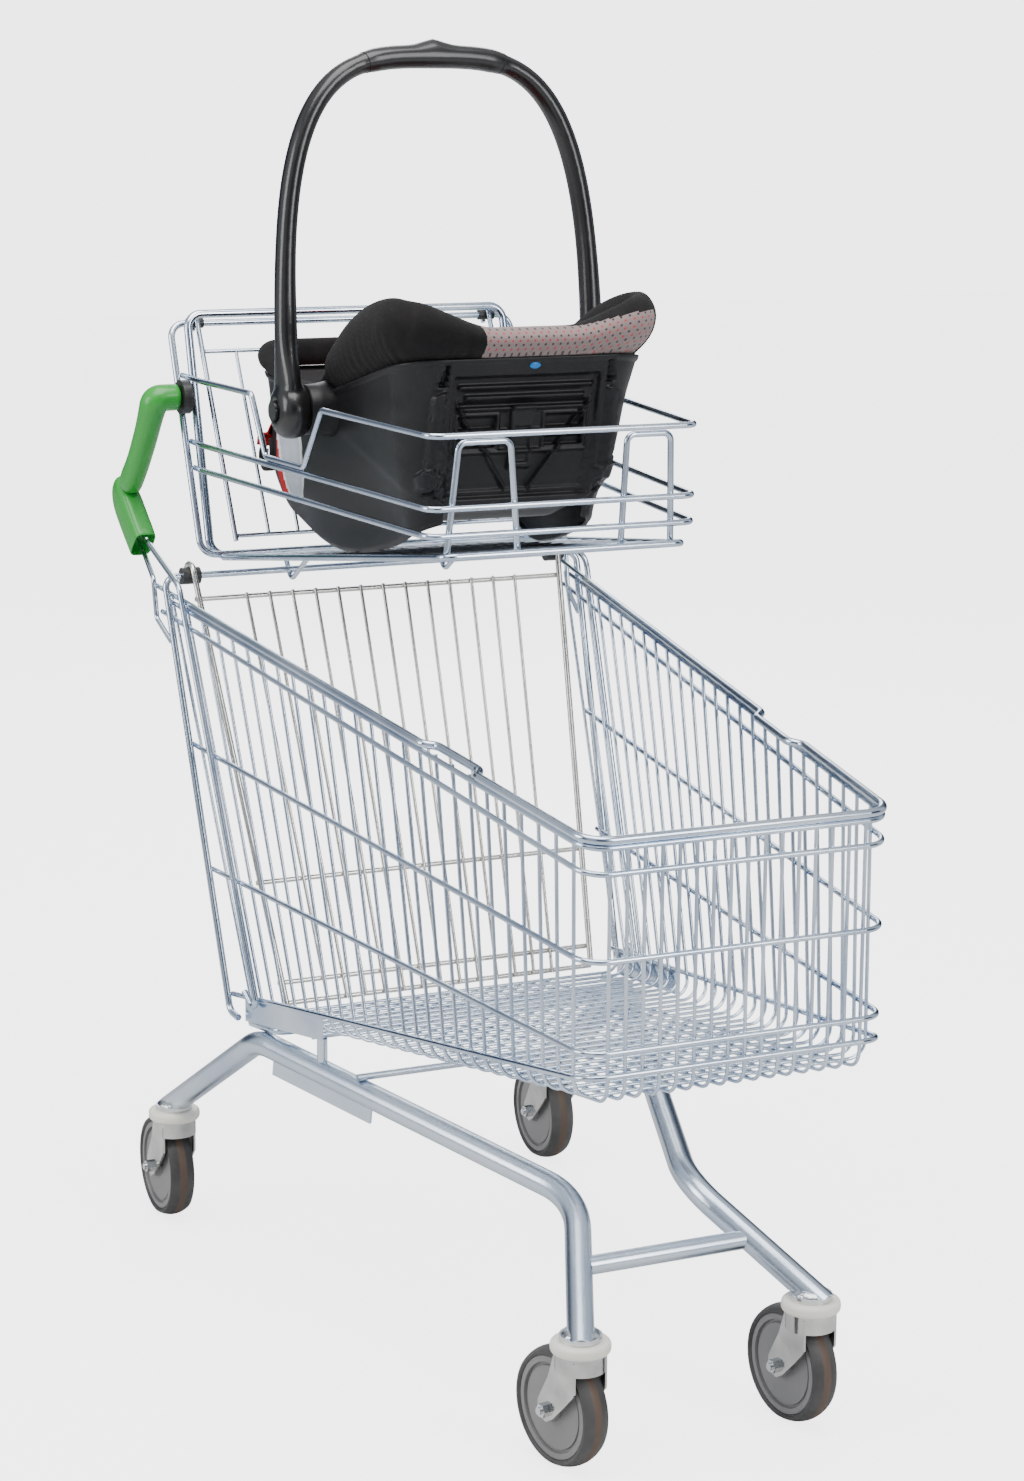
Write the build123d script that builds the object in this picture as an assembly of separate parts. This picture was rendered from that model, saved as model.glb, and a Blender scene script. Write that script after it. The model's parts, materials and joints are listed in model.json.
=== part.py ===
from build123d import *
import math
import os

# Shopping cart with a raised wire cradle that carries an infant seat. Millimetres, +Z up, +X towards
# the nose of the basket, +Y to the left as the pusher stands. The values below are in a drawing
# frame with its floor at z = 0; the finished parts are moved so that the middle of the cart is at x = 0.
os.makedirs("parts", exist_ok=True)

TOUCH = 0.05          # gap left between welded wires, so that they meet without overlapping
RUNNING = 0.05        # radial clearance of pins and axles
SEAT_GAP = 0.3        # clearance of a piece that rests on another

# ---- castors
WHEEL_D = 125
TYRE_W = 30
TRAIL = 30            # how far the axle lies behind the swivel axis
RIM_R = 53.5
AXLE_D = 8
HUB_W = 34
FORK_GAP = 37
FORK_T = 2.5
CROWN_D = 52
CROWN_T = 3
CROWN_TOP = 129.7
SKIRT_H = 15
GUARD_D = 62
GUARD_H = 13.5
RACE_D = 35.5
KINGPIN_D = 12
KINGPIN_HEAD_D = 16
KINGPIN_HEAD_T = 3
FLANGE_D = 44
FLANGE_T = 5.5
STEM_Z = 149          # underside of the chassis tube, top of the flange
FRONT_STEM = (400, 133)
REAR_STEM = (-455, 257)
NUT_AF = 13
NUT_T = 6

# ---- chassis tubes
TUBE_D = 28
TUBE_WALL = 2
TUBE_PEAK = (-222, 235, 291)
TUBE_NOSE = (253, 64.6, 232)
PEAK_BEND = 60
NOSE_BEND = 100
CROSSBAR_D = 20
CROSSBAR_AT = 0.52    # how far down the front leg the crossbar sits
GUIDE_L = 165
GUIDE_H = 18
GUIDE_T = 3
GUIDE_START = 28
MID_BAR_D = 8
MID_BAR_X = -55

# ---- basket
WIRE_D = 4
HOOP_D = 6
RIM_D = 9
POST_D = 7
FRAME_ROD_D = 8
NOSE_X = 466          # plane of the front wires
WALL_Y0 = 161         # half width of the side wires at the nose
WALL_FLARE = 0.105    # growth of the half width per millimetre towards the rear
FLOOR_Z0 = 410.5      # long floor wires at the nose
FLOOR_SLOPE = 0.14
HOOP_BEND = 28
WIRE_BEND = 20
SIDE_WIRES = 26
SIDE_PITCH = 27
SIDE_FIRST_X = -235
REAR_LEAN = 0.44      # lean of the rearmost side wire; it fades to nothing at the nose
FRONT_WIRES = 16
FRONT_PITCH = 18.8
FLOOR_REAR_X = -252
RIM_Z0 = 671
RIM_SLOPE = 0.119
RIM_REAR_X = -378
UNDER_RIM_REAR_X = -430
JOG_IN = 12
JOG_X = (156, 168, 250, 265)
HOOPS = (             # height at the nose, rise per millimetre to the rear, rear end
    (638, 0.127, -452),
    (552, 0.069, -374),
    (461, 0.0123, -328),
    (437.5, -0.140, -280),
)
HINGE_X = -430        # rod across the rear of the basket that the gate hangs from
HINGE_Z = 799
POST_FOOT = (-272, 315)
SUPPORT_D = 10
SUPPORT_Y = 228
SUPPORT_X = (-262, -180)
SLEEPER_D = 8
SLEEPER_X = -120
BOSS_D = 12
BRACKET_X = (-248, -65)
BRACKET_T = 3

# ---- rear gate
GATE_BUSH_D = 20
GATE_BUSH_W = 22
GATE_SIDE_Y = 236
GATE_FOOT = (-247, 322)
GATE_FOOT_Y = 196
GATE_ROD_D = 7
GATE_BAR_D = 6
GATE_WIRE_D = 4
GATE_WIRES = 13
GATE_PITCH = 29
GATE_BARS = (30, 368, 486, 510)   # distance of each bar below the hinge

# ---- cradle
TOWER_IN_D = 10
TOWER_IN_Y = 205
TOWER_IN_TOP = (-516, 1096)
TOWER_IN_FOOT = (-444, 819)
TOWER_OUT_D = 8
TOWER_OUT_TOP = (-531, 1084)
TOWER_OUT_FOOT = (-431, 822)
TOWER_BEND = 18
RAIL_D = 7
RAIL_FRONT_Y = 155.3
RAIL_BEND = 16
RAIL_TOP = (1012, 81, 0.022)    # height at the front, front x, rise per millimetre to the rear
RAIL_MIDDLE = (936, 78, 0.025)
RAIL_LOW = (907, 76, 0.024)
DIP_X = (-320, -285, -196, -154)
BED_FRONT = (83, 140, 886)
BED_SLOPE = 0.1317
BED_REAR_X = -424
BED_REAR_Y = 196
BED_ROD_D = 8
BED_WIRE_D = 5
BED_WIRES = 11
FRONT_HOOP_X = RAIL_LOW[1] - RAIL_D - 1.6    # last bed wire, which carries the feet of the front hoops
HOOK_D = 6
HOOK_Y = (-109, 90)
HOOK_DROP = 13        # bottom of the hook's bend below the rod that it holds
HOOK_BEND = 11
FRONT_HOOPS = (((-132, -50), (-121, -62)), ((72, 132), (75, 127)))   # feet, tops
FRONT_HOOP_Z = 1004

# ---- cradle flap
FLAP_Y = 190
FLAP_D = 6
FLAP_BUSH_D = 12
FLAP_BUSH_W = 20
FLAP_LENGTH = 276
FLAP_LEAN = math.radians(26.8)
FLAP_BARS = (40, 270)
FLAP_WIRE_D = 4
FLAP_WIRES = 9
FLAP_PITCH = 37

# ---- push grips
GRIP_D = 32
GRIP_ROOT = (-478, 229, 1003)
GRIP_ELBOW = (-478, 259, 1003)
GRIP_KNEE = (-545, 268, 896)
GRIP_HEEL = (-571, 268, 884)
GRIP_END = (-512, 263, 826)
GRIP_FLANGE_D = 40
GRIP_FLANGE_T = 11
GRIP_BLOCK = (44, 27)
GRIP_WALL = 4
GRIP_RECESS = 30
GRIP_POST_OFFSET = 10     # the two rods in the recess, to either side of its middle
BRACE_OFFSET = -10
BRACE_D = 6

# ---- infant seat
SEAT_X = -232
SEAT_TILT = 7.5
HUB_X = -232
HUB_Z = 1010
HUB_D = 64
HUB_IN_Y = 172
HUB_OUT_Y = 206
PIVOT_D = 20
ARCH_Y = 190
ARCH_TOP = 387
ARCH_LEAN = -5
ARCH_SIZE = (26, 30)
SHELL_T = 4
BUTTON_D = 22
BUTTON_TRAVEL = 4
BUTTON_DEPTH = 12
BUTTON_L = 11
PIVOT_L = 12          # how far the pivot reaches into the handle's hub
BOSS_R = 24
BOSS_FOOT_Y = 128
COVER_T = 20
LINER_T = 10
SHELL_CORNER = 48
SHELL_TOP = 232
SHELL_LEVELS = (      # level, foot end, head end, half width
    (8, -120, 150, 84),
    (44, -158, 200, 112),
    (100, -176, 220, 128),
    (160, -184, 238, 138),
    (205, -188, 256, 146),
    (272, -192, 272, 156),
)
SHELL_RIM = ((-215, 222), (-170, 214), (-80, 192), (18, 182), (110, 190), (200, 200), (300, 206))
COVER_TOP = ((-215, 246), (-170, 240), (-80, 216), (18, 204), (110, 226), (200, 262), (300, 250))
RUNNER_U = (-150, 200)
RUNNER_W = (30, 30)
RUNNER_LOW_U = 20
RUNNER_TOP = 50
RUNNER_Y = 98
RUNNER_T = 14


def slope_point(p, q, t):
    return tuple(a + (b - a) * t for a, b in zip(p, q))


def straight(a, b, diameter):
    """A straight round wire from a to b."""
    axis = Vector(*b) - Vector(*a)
    bottom = (Align.CENTER, Align.CENTER, Align.MIN)
    return Plane(origin=a, z_dir=axis) * Cylinder(diameter / 2, axis.length, align=bottom)


def bent(points, radii, diameter, wall=0):
    """A wire or tube bent along straight runs and arcs."""
    path = FilletPolyline(*points, radius=radii)
    section = Circle(diameter / 2)
    if wall:
        section -= Circle(diameter / 2 - wall)
    return sweep(Plane(origin=path @ 0, z_dir=path % 0) * section, path=path)


def left_of(shape):
    return mirror(shape, about=Plane.XZ)


def pair(shape):
    return [shape, left_of(shape)]


# ---- levels and widths that pieces share

def wall_y(x):
    return WALL_Y0 + WALL_FLARE * (NOSE_X + 5 - x)


FLARE_COS = math.cos(math.atan(WALL_FLARE))
FLOOR_COS = math.cos(math.atan(FLOOR_SLOPE))


def hoop_y(x):
    return wall_y(x) + (WIRE_D / 2 + HOOP_D / 2 + TOUCH) / FLARE_COS


def post_y(x, diameter):
    return hoop_y(x) + (HOOP_D / 2 + diameter / 2 + TOUCH) / FLARE_COS


def floor_z(x):
    return FLOOR_Z0 - FLOOR_SLOPE * (NOSE_X + 5 - x)


def cross_z(x):
    return floor_z(x) + (WIRE_D + TOUCH) / FLOOR_COS


HOOP_NOSE = NOSE_X + WIRE_D / 2 + HOOP_D / 2 + TOUCH
UNDER_RIM_DROP = (RIM_D / 2 + HOOP_D / 2 + TOUCH) * math.sqrt(1 + RIM_SLOPE ** 2)


def under_rim_z(x):
    return RIM_Z0 - UNDER_RIM_DROP + RIM_SLOPE * (HOOP_NOSE - x)


def bed_z(x):
    return BED_FRONT[2] + BED_SLOPE * (x - BED_FRONT[0])


RAIL_REAR_Y = TOWER_IN_Y + TOWER_IN_D / 2 + RAIL_D / 2 + TOUCH


def rail_y(x):
    """Half width of the cradle rails, which flare to the tower and run on between its two loops."""
    front_x, rear_x = RAIL_TOP[1], TOWER_IN_FOOT[0]
    return RAIL_REAR_Y - (RAIL_REAR_Y - RAIL_FRONT_Y) * max(x - rear_x, 0) / (front_x - rear_x)


TOWER_OUT_Y = TOWER_IN_Y + TOWER_IN_D / 2 + RAIL_D + TOWER_OUT_D / 2 + 2 * TOUCH


def loop_x(top, foot, z):
    return foot[0] + (top[0] - foot[0]) * (z - foot[1]) / (top[1] - foot[1])


# ---- castors

def stems():
    fx, fy = FRONT_STEM
    rx, ry = REAR_STEM
    return {"fr": (fx, -fy, 10.5), "fl": (fx, fy, 6.5), "rr": (rx, -ry, 0), "rl": (rx, ry, 0)}


AXLE_Z = WHEEL_D / 2
RACE_TOP = STEM_Z - FLANGE_T
RACE_BOTTOM = CROWN_TOP + SEAT_GAP


def castor_place(name):
    x, y, turn = stems()[name]
    return Pos(x, y, 0) * Rot(0, 0, turn)


def flange():
    return Pos(0, 0, RACE_TOP) * extrude(Circle(FLANGE_D / 2), FLANGE_T)


def thread_guard():
    ring = extrude(Circle(GUARD_D / 2), GUARD_H - SEAT_GAP)
    ring = fillet(ring.edges().filter_by(GeomType.CIRCLE), 5)
    ring -= extrude(Circle(RACE_D / 2 + SEAT_GAP), GUARD_H)
    return Pos(0, 0, RACE_BOTTOM) * ring


def kingpin():
    shank_bottom = CROWN_TOP - CROWN_T - SEAT_GAP
    race = Pos(0, 0, RACE_BOTTOM) * extrude(Circle(RACE_D / 2), RACE_TOP - RACE_BOTTOM)
    shank = Pos(0, 0, shank_bottom) * extrude(Circle(KINGPIN_D / 2), RACE_TOP - shank_bottom)
    head = Pos(0, 0, shank_bottom) * extrude(Circle(KINGPIN_HEAD_D / 2), -KINGPIN_HEAD_T)
    return race + shank + head


def fork():
    half = FORK_GAP / 2
    crown = Pos(0, 0, CROWN_TOP - CROWN_T) * extrude(Circle(CROWN_D / 2), CROWN_T)
    skirt = extrude(Circle(CROWN_D / 2) - Circle(CROWN_D / 2 - FORK_T), -SKIRT_H)
    skirt = Pos(0, 0, CROWN_TOP - CROWN_T) * skirt
    skirt -= Pos(-CROWN_D / 2 + 4, 0, CROWN_TOP - CROWN_T - SKIRT_H) * Box(CROWN_D, FORK_GAP, 2 * SKIRT_H)
    outline = Polyline(
        (-17, CROWN_TOP - CROWN_T), (17, CROWN_TOP - CROWN_T), (17, 92), (2, 76), (-18, 56), (-30, 49),
        (-42, 56), (-43, 70), (-26, 100), close=True,
    )
    plate = fillet(make_face(outline).vertices().sort_by(Axis.Y)[:-2], 6)
    plate -= Pos(-TRAIL, AXLE_Z) * Circle(AXLE_D / 2 + RUNNING)
    leg = Plane.XZ * plate
    near = Pos(0, -half, 0) * extrude(leg, FORK_T)
    far = Pos(0, half + FORK_T, 0) * extrude(leg, FORK_T)
    body = crown + skirt + near + far
    return body - extrude(Circle(KINGPIN_D / 2 + RUNNING), 2 * STEM_Z)


def axle():
    """Axle bolt with its head on the left, and a nut on the right."""
    across = Plane.XZ
    face = FORK_GAP / 2 + FORK_T + 0.1
    bolt = Pos(0, face, 0) * extrude(across * Circle(AXLE_D / 2), 2 * face + NUT_T + 3)
    bolt += Pos(0, face, 0) * extrude(across * RegularPolygon(NUT_AF / 2, 6, major_radius=False), -NUT_T)
    hexagon = RegularPolygon(NUT_AF / 2, 6, major_radius=False) - Circle(AXLE_D / 2 + 0.02)
    nut = Pos(0, -face, 0) * extrude(across * hexagon, NUT_T)
    return [Pos(-TRAIL, 0, AXLE_Z) * bolt, Pos(-TRAIL, 0, AXLE_Z) * nut]


def wheel_disc():
    bore = AXLE_D / 2 + RUNNING
    half = [(bore, 0), (bore, HUB_W / 2), (13, HUB_W / 2), (14.5, 12.5), (43, 11.5), (43.6, 9.6),
            (46.4, 9.6), (47, 13.2), (RIM_R - 1, 13.2), (RIM_R, 12.2), (RIM_R, 0)]
    other = [(r, -w) for r, w in reversed(half[1:-1])]
    profile = make_face(Polyline(*half, *other, close=True))
    turned = revolve(Plane.XY * profile, Axis.Y)
    return Pos(-TRAIL, 0, AXLE_Z) * turned


def tyre():
    w = TYRE_W / 2
    inner = RIM_R + 0.02
    top = WHEEL_D / 2
    outline = [
        Line((inner, -w + 2), (inner, w - 2)),
        Line((inner, w - 2), (inner + 2, w)),
        Line((inner + 2, w), (top - 4.5, w)),
        ThreePointArc((top - 4.5, w), (top, 0), (top - 4.5, -w)),
        Line((top - 4.5, -w), (inner + 2, -w)),
        Line((inner + 2, -w), (inner, -w + 2)),
    ]
    ring = revolve(make_face(Wire(outline)), Axis.Y)
    return Pos(-TRAIL, 0, AXLE_Z) * ring


# ---- chassis

def tube_points(sign):
    return [
        (REAR_STEM[0], sign * REAR_STEM[1], STEM_Z),
        (TUBE_PEAK[0], sign * TUBE_PEAK[1], TUBE_PEAK[2]),
        (TUBE_NOSE[0], sign * TUBE_NOSE[1], TUBE_NOSE[2]),
        (FRONT_STEM[0], sign * FRONT_STEM[1], STEM_Z),
    ]


def past(p, q, reach):
    """The point that lies reach beyond q on the line from p."""
    run = Vector(*q) - Vector(*p)
    return tuple(Vector(*q) + run.normalized() * reach)


def chassis_tube(sign, wall):
    points = tube_points(sign)
    points[0] = past(points[1], points[0], 20)
    points[-1] = past(points[-2], points[-1], 20)
    tube = bent(points, [PEAK_BEND, NOSE_BEND], TUBE_D, wall)
    return tube - Pos(0, 0, STEM_Z - 50) * Box(3000, 3000, 100)


def front_crossbar(solid_tubes):
    right, left = solid_tubes
    nose, stem = tube_points(-1)[2:]
    seat = slope_point(nose, stem, CROSSBAR_AT)
    bar = straight(seat, (seat[0], -seat[1], seat[2]), CROSSBAR_D) - right - left
    return bar.solids().sort_by(SortBy.VOLUME)[-1]


def guide_strip():
    _, peak, nose, _ = tube_points(-1)
    along = (Vector(*nose) - Vector(*peak)).normalized()
    side = along.cross(Vector(0, 0, 1)).normalized()
    frame = Plane(origin=peak, x_dir=along, z_dir=side)
    down = -1 if frame.y_dir.Z > 0 else 1
    middle = (GUIDE_START + GUIDE_L / 2, down * (TUBE_D / 2 + TOUCH + GUIDE_H / 2), 0)
    return frame * Pos(*middle) * Box(GUIDE_L, GUIDE_H, GUIDE_T)


def tube_top(x):
    """Centre and top of the right chassis tube on its long straight, at x."""
    _, peak, nose, _ = tube_points(-1)
    share = (x - peak[0]) / (nose[0] - peak[0])
    y = peak[1] + share * (nose[1] - peak[1])
    z = peak[2] + share * (nose[2] - peak[2])
    fall = (peak[2] - nose[2]) / math.dist(peak[:2], nose[:2])
    return y, z + TUBE_D / 2 * math.sqrt(1 + fall ** 2)


def mid_bar():
    y, top = tube_top(MID_BAR_X)
    z = top + MID_BAR_D / 2 + 4 * TOUCH
    return straight((MID_BAR_X, y - 8, z), (MID_BAR_X, -y + 8, z), MID_BAR_D)


def support_z(x, diameter):
    return floor_z(x) - (WIRE_D / 2 + diameter / 2 + TOUCH) / FLOOR_COS


def support_rod():
    rear, front = SUPPORT_X
    corners = [(rear, -SUPPORT_Y), (front, -SUPPORT_Y), (front, SUPPORT_Y), (rear, SUPPORT_Y)]
    points = [(x, y, support_z(x, SUPPORT_D)) for x, y in corners]
    return bent(points, [18, 18], SUPPORT_D)


def sleeper():
    y = tube_top(SLEEPER_X)[0]
    z = support_z(SLEEPER_X, SLEEPER_D)
    return straight((SLEEPER_X, y - 12, z), (SLEEPER_X, -y + 12, z), SLEEPER_D)


def sleeper_boss(solid_tube):
    y, top = tube_top(SLEEPER_X)
    upper = support_z(SLEEPER_X, SLEEPER_D) - SLEEPER_D / 2 - TOUCH
    post = Pos(SLEEPER_X, y, 0) * Pos(0, 0, top - 6) * extrude(Circle(BOSS_D / 2), upper - top + 6)
    return (post - solid_tube).solids().sort_by(Axis.Z)[-1]


def corner_bracket():
    """Flat plate on the right rear corner, outside the side wires and under the lowest hoop."""
    z0, slope, _ = HOOPS[-1]
    rear, front = BRACKET_X
    corners = []
    for x in (rear, front):
        corners.append((x, floor_z(x) - WIRE_D / 2, z0 + slope * (HOOP_NOSE - x) - HOOP_D / 2 - 4 * TOUCH))
    inner = (WIRE_D / 2 + TOUCH) / FLARE_COS
    ring = [(x, -(wall_y(x) + inner), z) for x, z in (
        (rear, corners[0][1]), (front, corners[1][1]), (front, corners[1][2]), (rear, corners[0][2]))]
    face = make_face(Polyline(*ring, close=True))
    outward = Vector(-WALL_FLARE, -1, 0).normalized()
    return extrude(face, amount=BRACKET_T, dir=outward)


# ---- basket

def hoop(z0, slope, rear_x):
    """A hoop round both sides and the nose, in one plane."""
    z_rear = z0 + slope * (HOOP_NOSE - rear_x)
    y_rear, y_nose = hoop_y(rear_x), hoop_y(HOOP_NOSE)
    points = [(rear_x, -y_rear, z_rear), (HOOP_NOSE, -y_nose, z0), (HOOP_NOSE, y_nose, z0), (rear_x, y_rear, z_rear)]
    return bent(points, [HOOP_BEND, HOOP_BEND], HOOP_D)


def rim_rod():
    def at(x, inward=0):
        return (x, -(hoop_y(x) - inward), RIM_Z0 + RIM_SLOPE * (HOOP_NOSE - x))
    side = [at(RIM_REAR_X), at(JOG_X[0]), at(JOG_X[1], JOG_IN), at(JOG_X[2], JOG_IN), at(JOG_X[3]), at(HOOP_NOSE)]
    other = [(x, -y, z) for x, y, z in reversed(side)]
    radii = [14, 14, 14, 14, HOOP_BEND, HOOP_BEND, 14, 14, 14, 14]
    return bent(side + other, radii, RIM_D)


def lean_at(x):
    return REAR_LEAN * (NOSE_X - x) / (NOSE_X - SIDE_FIRST_X)


def side_xs():
    return [SIDE_FIRST_X + SIDE_PITCH * i for i in range(SIDE_WIRES)]


def side_corner(x):
    """Top end and bottom corner of the right side wire that starts at x, and its bend's tangent length."""
    z, lean = cross_z(x), lean_at(x)
    nose_z = under_rim_z(HOOP_NOSE) + WIRE_D / 2
    top_x = (x - lean * (nose_z + RIM_SLOPE * HOOP_NOSE - z)) / (1 - lean * RIM_SLOPE)
    top = Vector(top_x, -wall_y(top_x), under_rim_z(top_x) + WIRE_D / 2)
    corner = Vector(x, -wall_y(x), z)
    turn = math.radians((corner - top).get_angle(Vector(0, 1, 0)))
    return top, corner, WIRE_BEND * math.tan(turn / 2)


def side_wire(x):
    top, corner, tangent = side_corner(x)
    foot = corner + Vector(0, tangent + 1, 0)
    return bent([tuple(top), tuple(corner), tuple(foot)], WIRE_BEND, WIRE_D)


def floor_cross_wire(x):
    _, corner, tangent = side_corner(x)
    y = -corner.Y - tangent - 1
    return straight((x, -y, corner.Z), (x, y, corner.Z), WIRE_D)


def front_ys():
    return [FRONT_PITCH * (i - (FRONT_WIRES - 1) / 2) for i in range(FRONT_WIRES)]


def floor_run():
    """Unit vector down the floor to the rear, and the tangent length of the front wires' bend."""
    rear = Vector(-1, 0, -FLOOR_SLOPE).normalized()
    turn = math.radians(Vector(0, 0, -1).get_angle(rear))
    return rear, WIRE_BEND * math.tan(turn / 2)


def front_wire(y):
    rear, tangent = floor_run()
    corner = Vector(NOSE_X, y, floor_z(NOSE_X))
    top = (NOSE_X, y, under_rim_z(HOOP_NOSE) + WIRE_D / 2)
    return bent([top, tuple(corner), tuple(corner + rear * (tangent + 1))], WIRE_BEND, WIRE_D)


def floor_long_wire(y):
    rear, tangent = floor_run()
    start = Vector(NOSE_X, y, floor_z(NOSE_X)) + rear * (tangent + 1)
    return straight(tuple(start), (FLOOR_REAR_X, y, floor_z(FLOOR_REAR_X)), WIRE_D)


def rear_frame_rod():
    """Rear posts and the rod across them, bent from one piece."""
    foot_x, foot_z = POST_FOOT
    side = [(BRACKET_X[0] - 3, -post_y(BRACKET_X[0] - 3, FRAME_ROD_D), foot_z - 3),
            (foot_x, -post_y(foot_x, FRAME_ROD_D), foot_z),
            (HINGE_X, -post_y(HINGE_X, FRAME_ROD_D), HINGE_Z)]
    other = [(x, -y, z) for x, y, z in reversed(side)]
    return bent(side + other, [14, 14, 14, 14], FRAME_ROD_D)


def grip_post():
    """Rod that runs down the basket from the right grip and turns back at its foot."""
    knee_x, foot_x, tail_x = -393, -198, -236
    points = [
        *grip_socket(GRIP_POST_OFFSET),
        (knee_x, -post_y(knee_x, POST_D), 794),
        (foot_x, -post_y(foot_x, POST_D), 320),
        (tail_x, -post_y(tail_x, POST_D), 347),
    ]
    return bent(points, [9, 22, 8], POST_D)


def brace_wire():
    """Wire from the right grip round the rear end of the rim to the rear post."""
    shoulder_x, waist_x, foot_x = -462, -454, -416
    points = [
        *grip_socket(BRACE_OFFSET),
        (shoulder_x, -post_y(shoulder_x, BRACE_D), 793),
        (waist_x, -post_y(waist_x, BRACE_D), 747),
        (foot_x, -post_y(foot_x, BRACE_D), 725),
    ]
    return bent(points, [7, 8, 8], BRACE_D)


def rim_tail():
    """Thinner wire that carries the line of the rim back to the brace."""
    lift = (RIM_D - HOOP_D) / 2
    rear_x = -468
    start, end = [(x, -hoop_y(x), RIM_Z0 + RIM_SLOPE * (HOOP_NOSE - x) + lift) for x in (RIM_REAR_X - 0.7, rear_x)]
    return straight(start, end, HOOP_D)


# ---- rear gate

def gate_frame():
    """Unit vectors of the right gate rod's run and of the gate's front side."""
    run = Vector(GATE_FOOT[0] - HINGE_X, 0, GATE_FOOT[1] - HINGE_Z).normalized()
    return run, Vector(-run.Z, 0, run.X)


HOOK_R = GATE_BUSH_D / 2 + SEAT_GAP + GATE_ROD_D / 2


def hooked_rod(axis, run, front, hook_r, y_top, y_foot, length, diameter):
    """A rod that hooks over a bush on the axis from the front and runs down the panel."""
    centre = Vector(axis[0], -y_top, axis[1])
    start = centre + front * hook_r
    over = centre - run * hook_r
    back = centre - front * hook_r
    arc = ThreePointArc(tuple(back), tuple(over), tuple(start))
    tail = Line(tuple(back + run * 6), tuple(back))
    path = Wire([tail, arc])
    section = Plane(origin=path @ 0, z_dir=path % 0) * Circle(diameter / 2)
    hook = sweep(section, path=path)
    foot = centre + front * hook_r + run * length + Vector(0, y_top - y_foot, 0)
    return hook + straight(tuple(start), tuple(foot), diameter)


def gate_side_y(distance):
    reach = math.dist((HINGE_X, HINGE_Z), GATE_FOOT)
    return GATE_SIDE_Y + (GATE_FOOT_Y - GATE_SIDE_Y) * distance / reach


def gate_side_rod():
    run, front = gate_frame()
    reach = math.dist((HINGE_X, HINGE_Z), GATE_FOOT)
    return hooked_rod((HINGE_X, HINGE_Z), run, front, HOOK_R, GATE_SIDE_Y, GATE_FOOT_Y, reach, GATE_ROD_D)


def gate_bar_level(distance):
    run, front = gate_frame()
    level = HOOK_R - GATE_ROD_D / 2 - GATE_BAR_D / 2 - 3 * TOUCH
    return Vector(HINGE_X, 0, HINGE_Z) + run * distance + front * level


def gate_bar(distance):
    point = gate_bar_level(distance)
    y = gate_side_y(distance) + GATE_ROD_D / 2 - 1
    return straight((point.X, -y, point.Z), (point.X, y, point.Z), GATE_BAR_D)


def gate_wire(i):
    run, front = gate_frame()
    y = GATE_PITCH * (i - (GATE_WIRES - 1) / 2)
    lift = front * (GATE_BAR_D / 2 + GATE_WIRE_D / 2 + TOUCH)
    top = gate_bar_level(GATE_BARS[0]) + lift - run * 3
    foot = gate_bar_level(GATE_BARS[-1]) + lift + run * 3
    return straight((top.X, y, top.Z), (foot.X, y * GATE_FOOT_Y / GATE_SIDE_Y, foot.Z), GATE_WIRE_D)


def gate_bush():
    ring = Circle(GATE_BUSH_D / 2) - Circle(FRAME_ROD_D / 2 + RUNNING)
    return Pos(HINGE_X, -GATE_SIDE_Y + GATE_BUSH_W / 2, HINGE_Z) * extrude(Plane.XZ * ring, GATE_BUSH_W)


# ---- cradle

def closed_loop(top, foot, half_width, diameter):
    """A closed rounded rectangle that leans back, welded from two equal bent rods."""
    side = [(foot[0], 0, foot[1]), (foot[0], -half_width, foot[1]),
            (top[0], -half_width, top[1]), (top[0], 0, top[1])]
    return pair(bent(side, [TOWER_BEND, TOWER_BEND], diameter))


def rail(z0, front_x, rise, dip):
    def at(x, z=None):
        return (x, -rail_y(x), z0 + rise * (front_x - x) if z is None else z)
    rear_z = z0 + rise * (front_x - TOWER_OUT_FOOT[0])
    rear_x = loop_x(TOWER_OUT_TOP, TOWER_OUT_FOOT, rear_z) - 2
    side = [at(rear_x), at(TOWER_IN_FOOT[0])]
    radii = [30]
    if dip:
        side += [at(DIP_X[0]), at(DIP_X[1], dip_z(DIP_X[1])), at(DIP_X[2], dip_z(DIP_X[2])), at(DIP_X[3])]
        radii += [8, 8, 8, 8]
    side.append((front_x, -rail_y(front_x), z0))
    other = [(x, -y, z) for x, y, z in reversed(side)]
    return bent(side + other, radii + [RAIL_BEND, RAIL_BEND] + radii[::-1], RAIL_D)


def dip_z(x):
    """The top rail dips on to the middle rail, to clear the hub of the carry handle."""
    z0, front_x, rise = RAIL_MIDDLE
    return z0 + rise * (front_x - x) + RAIL_D + 2 * TOUCH


def bed_frame():
    front_x, front_y, _ = BED_FRONT
    corners = [(BED_REAR_X, -BED_REAR_Y), (front_x, -front_y), (front_x, front_y), (BED_REAR_X, BED_REAR_Y)]
    return bent([(x, y, bed_z(x)) for x, y in corners], [14, 14], BED_ROD_D)


def bed_wires():
    wires = []
    for i in range(BED_WIRES):
        x = BED_REAR_X + 14 + (FRONT_HOOP_X - BED_REAR_X - 14) * i / (BED_WIRES - 1)
        share = (BED_FRONT[0] - x) / (BED_FRONT[0] - BED_REAR_X)
        side_y = BED_FRONT[1] + share * (BED_REAR_Y - BED_FRONT[1])
        y = side_y - BED_ROD_D / 2 - 6 * TOUCH
        wires.append(straight((x, -y, bed_z(x) - 1), (x, y, bed_z(x) - 1), BED_WIRE_D))
    return wires


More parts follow.
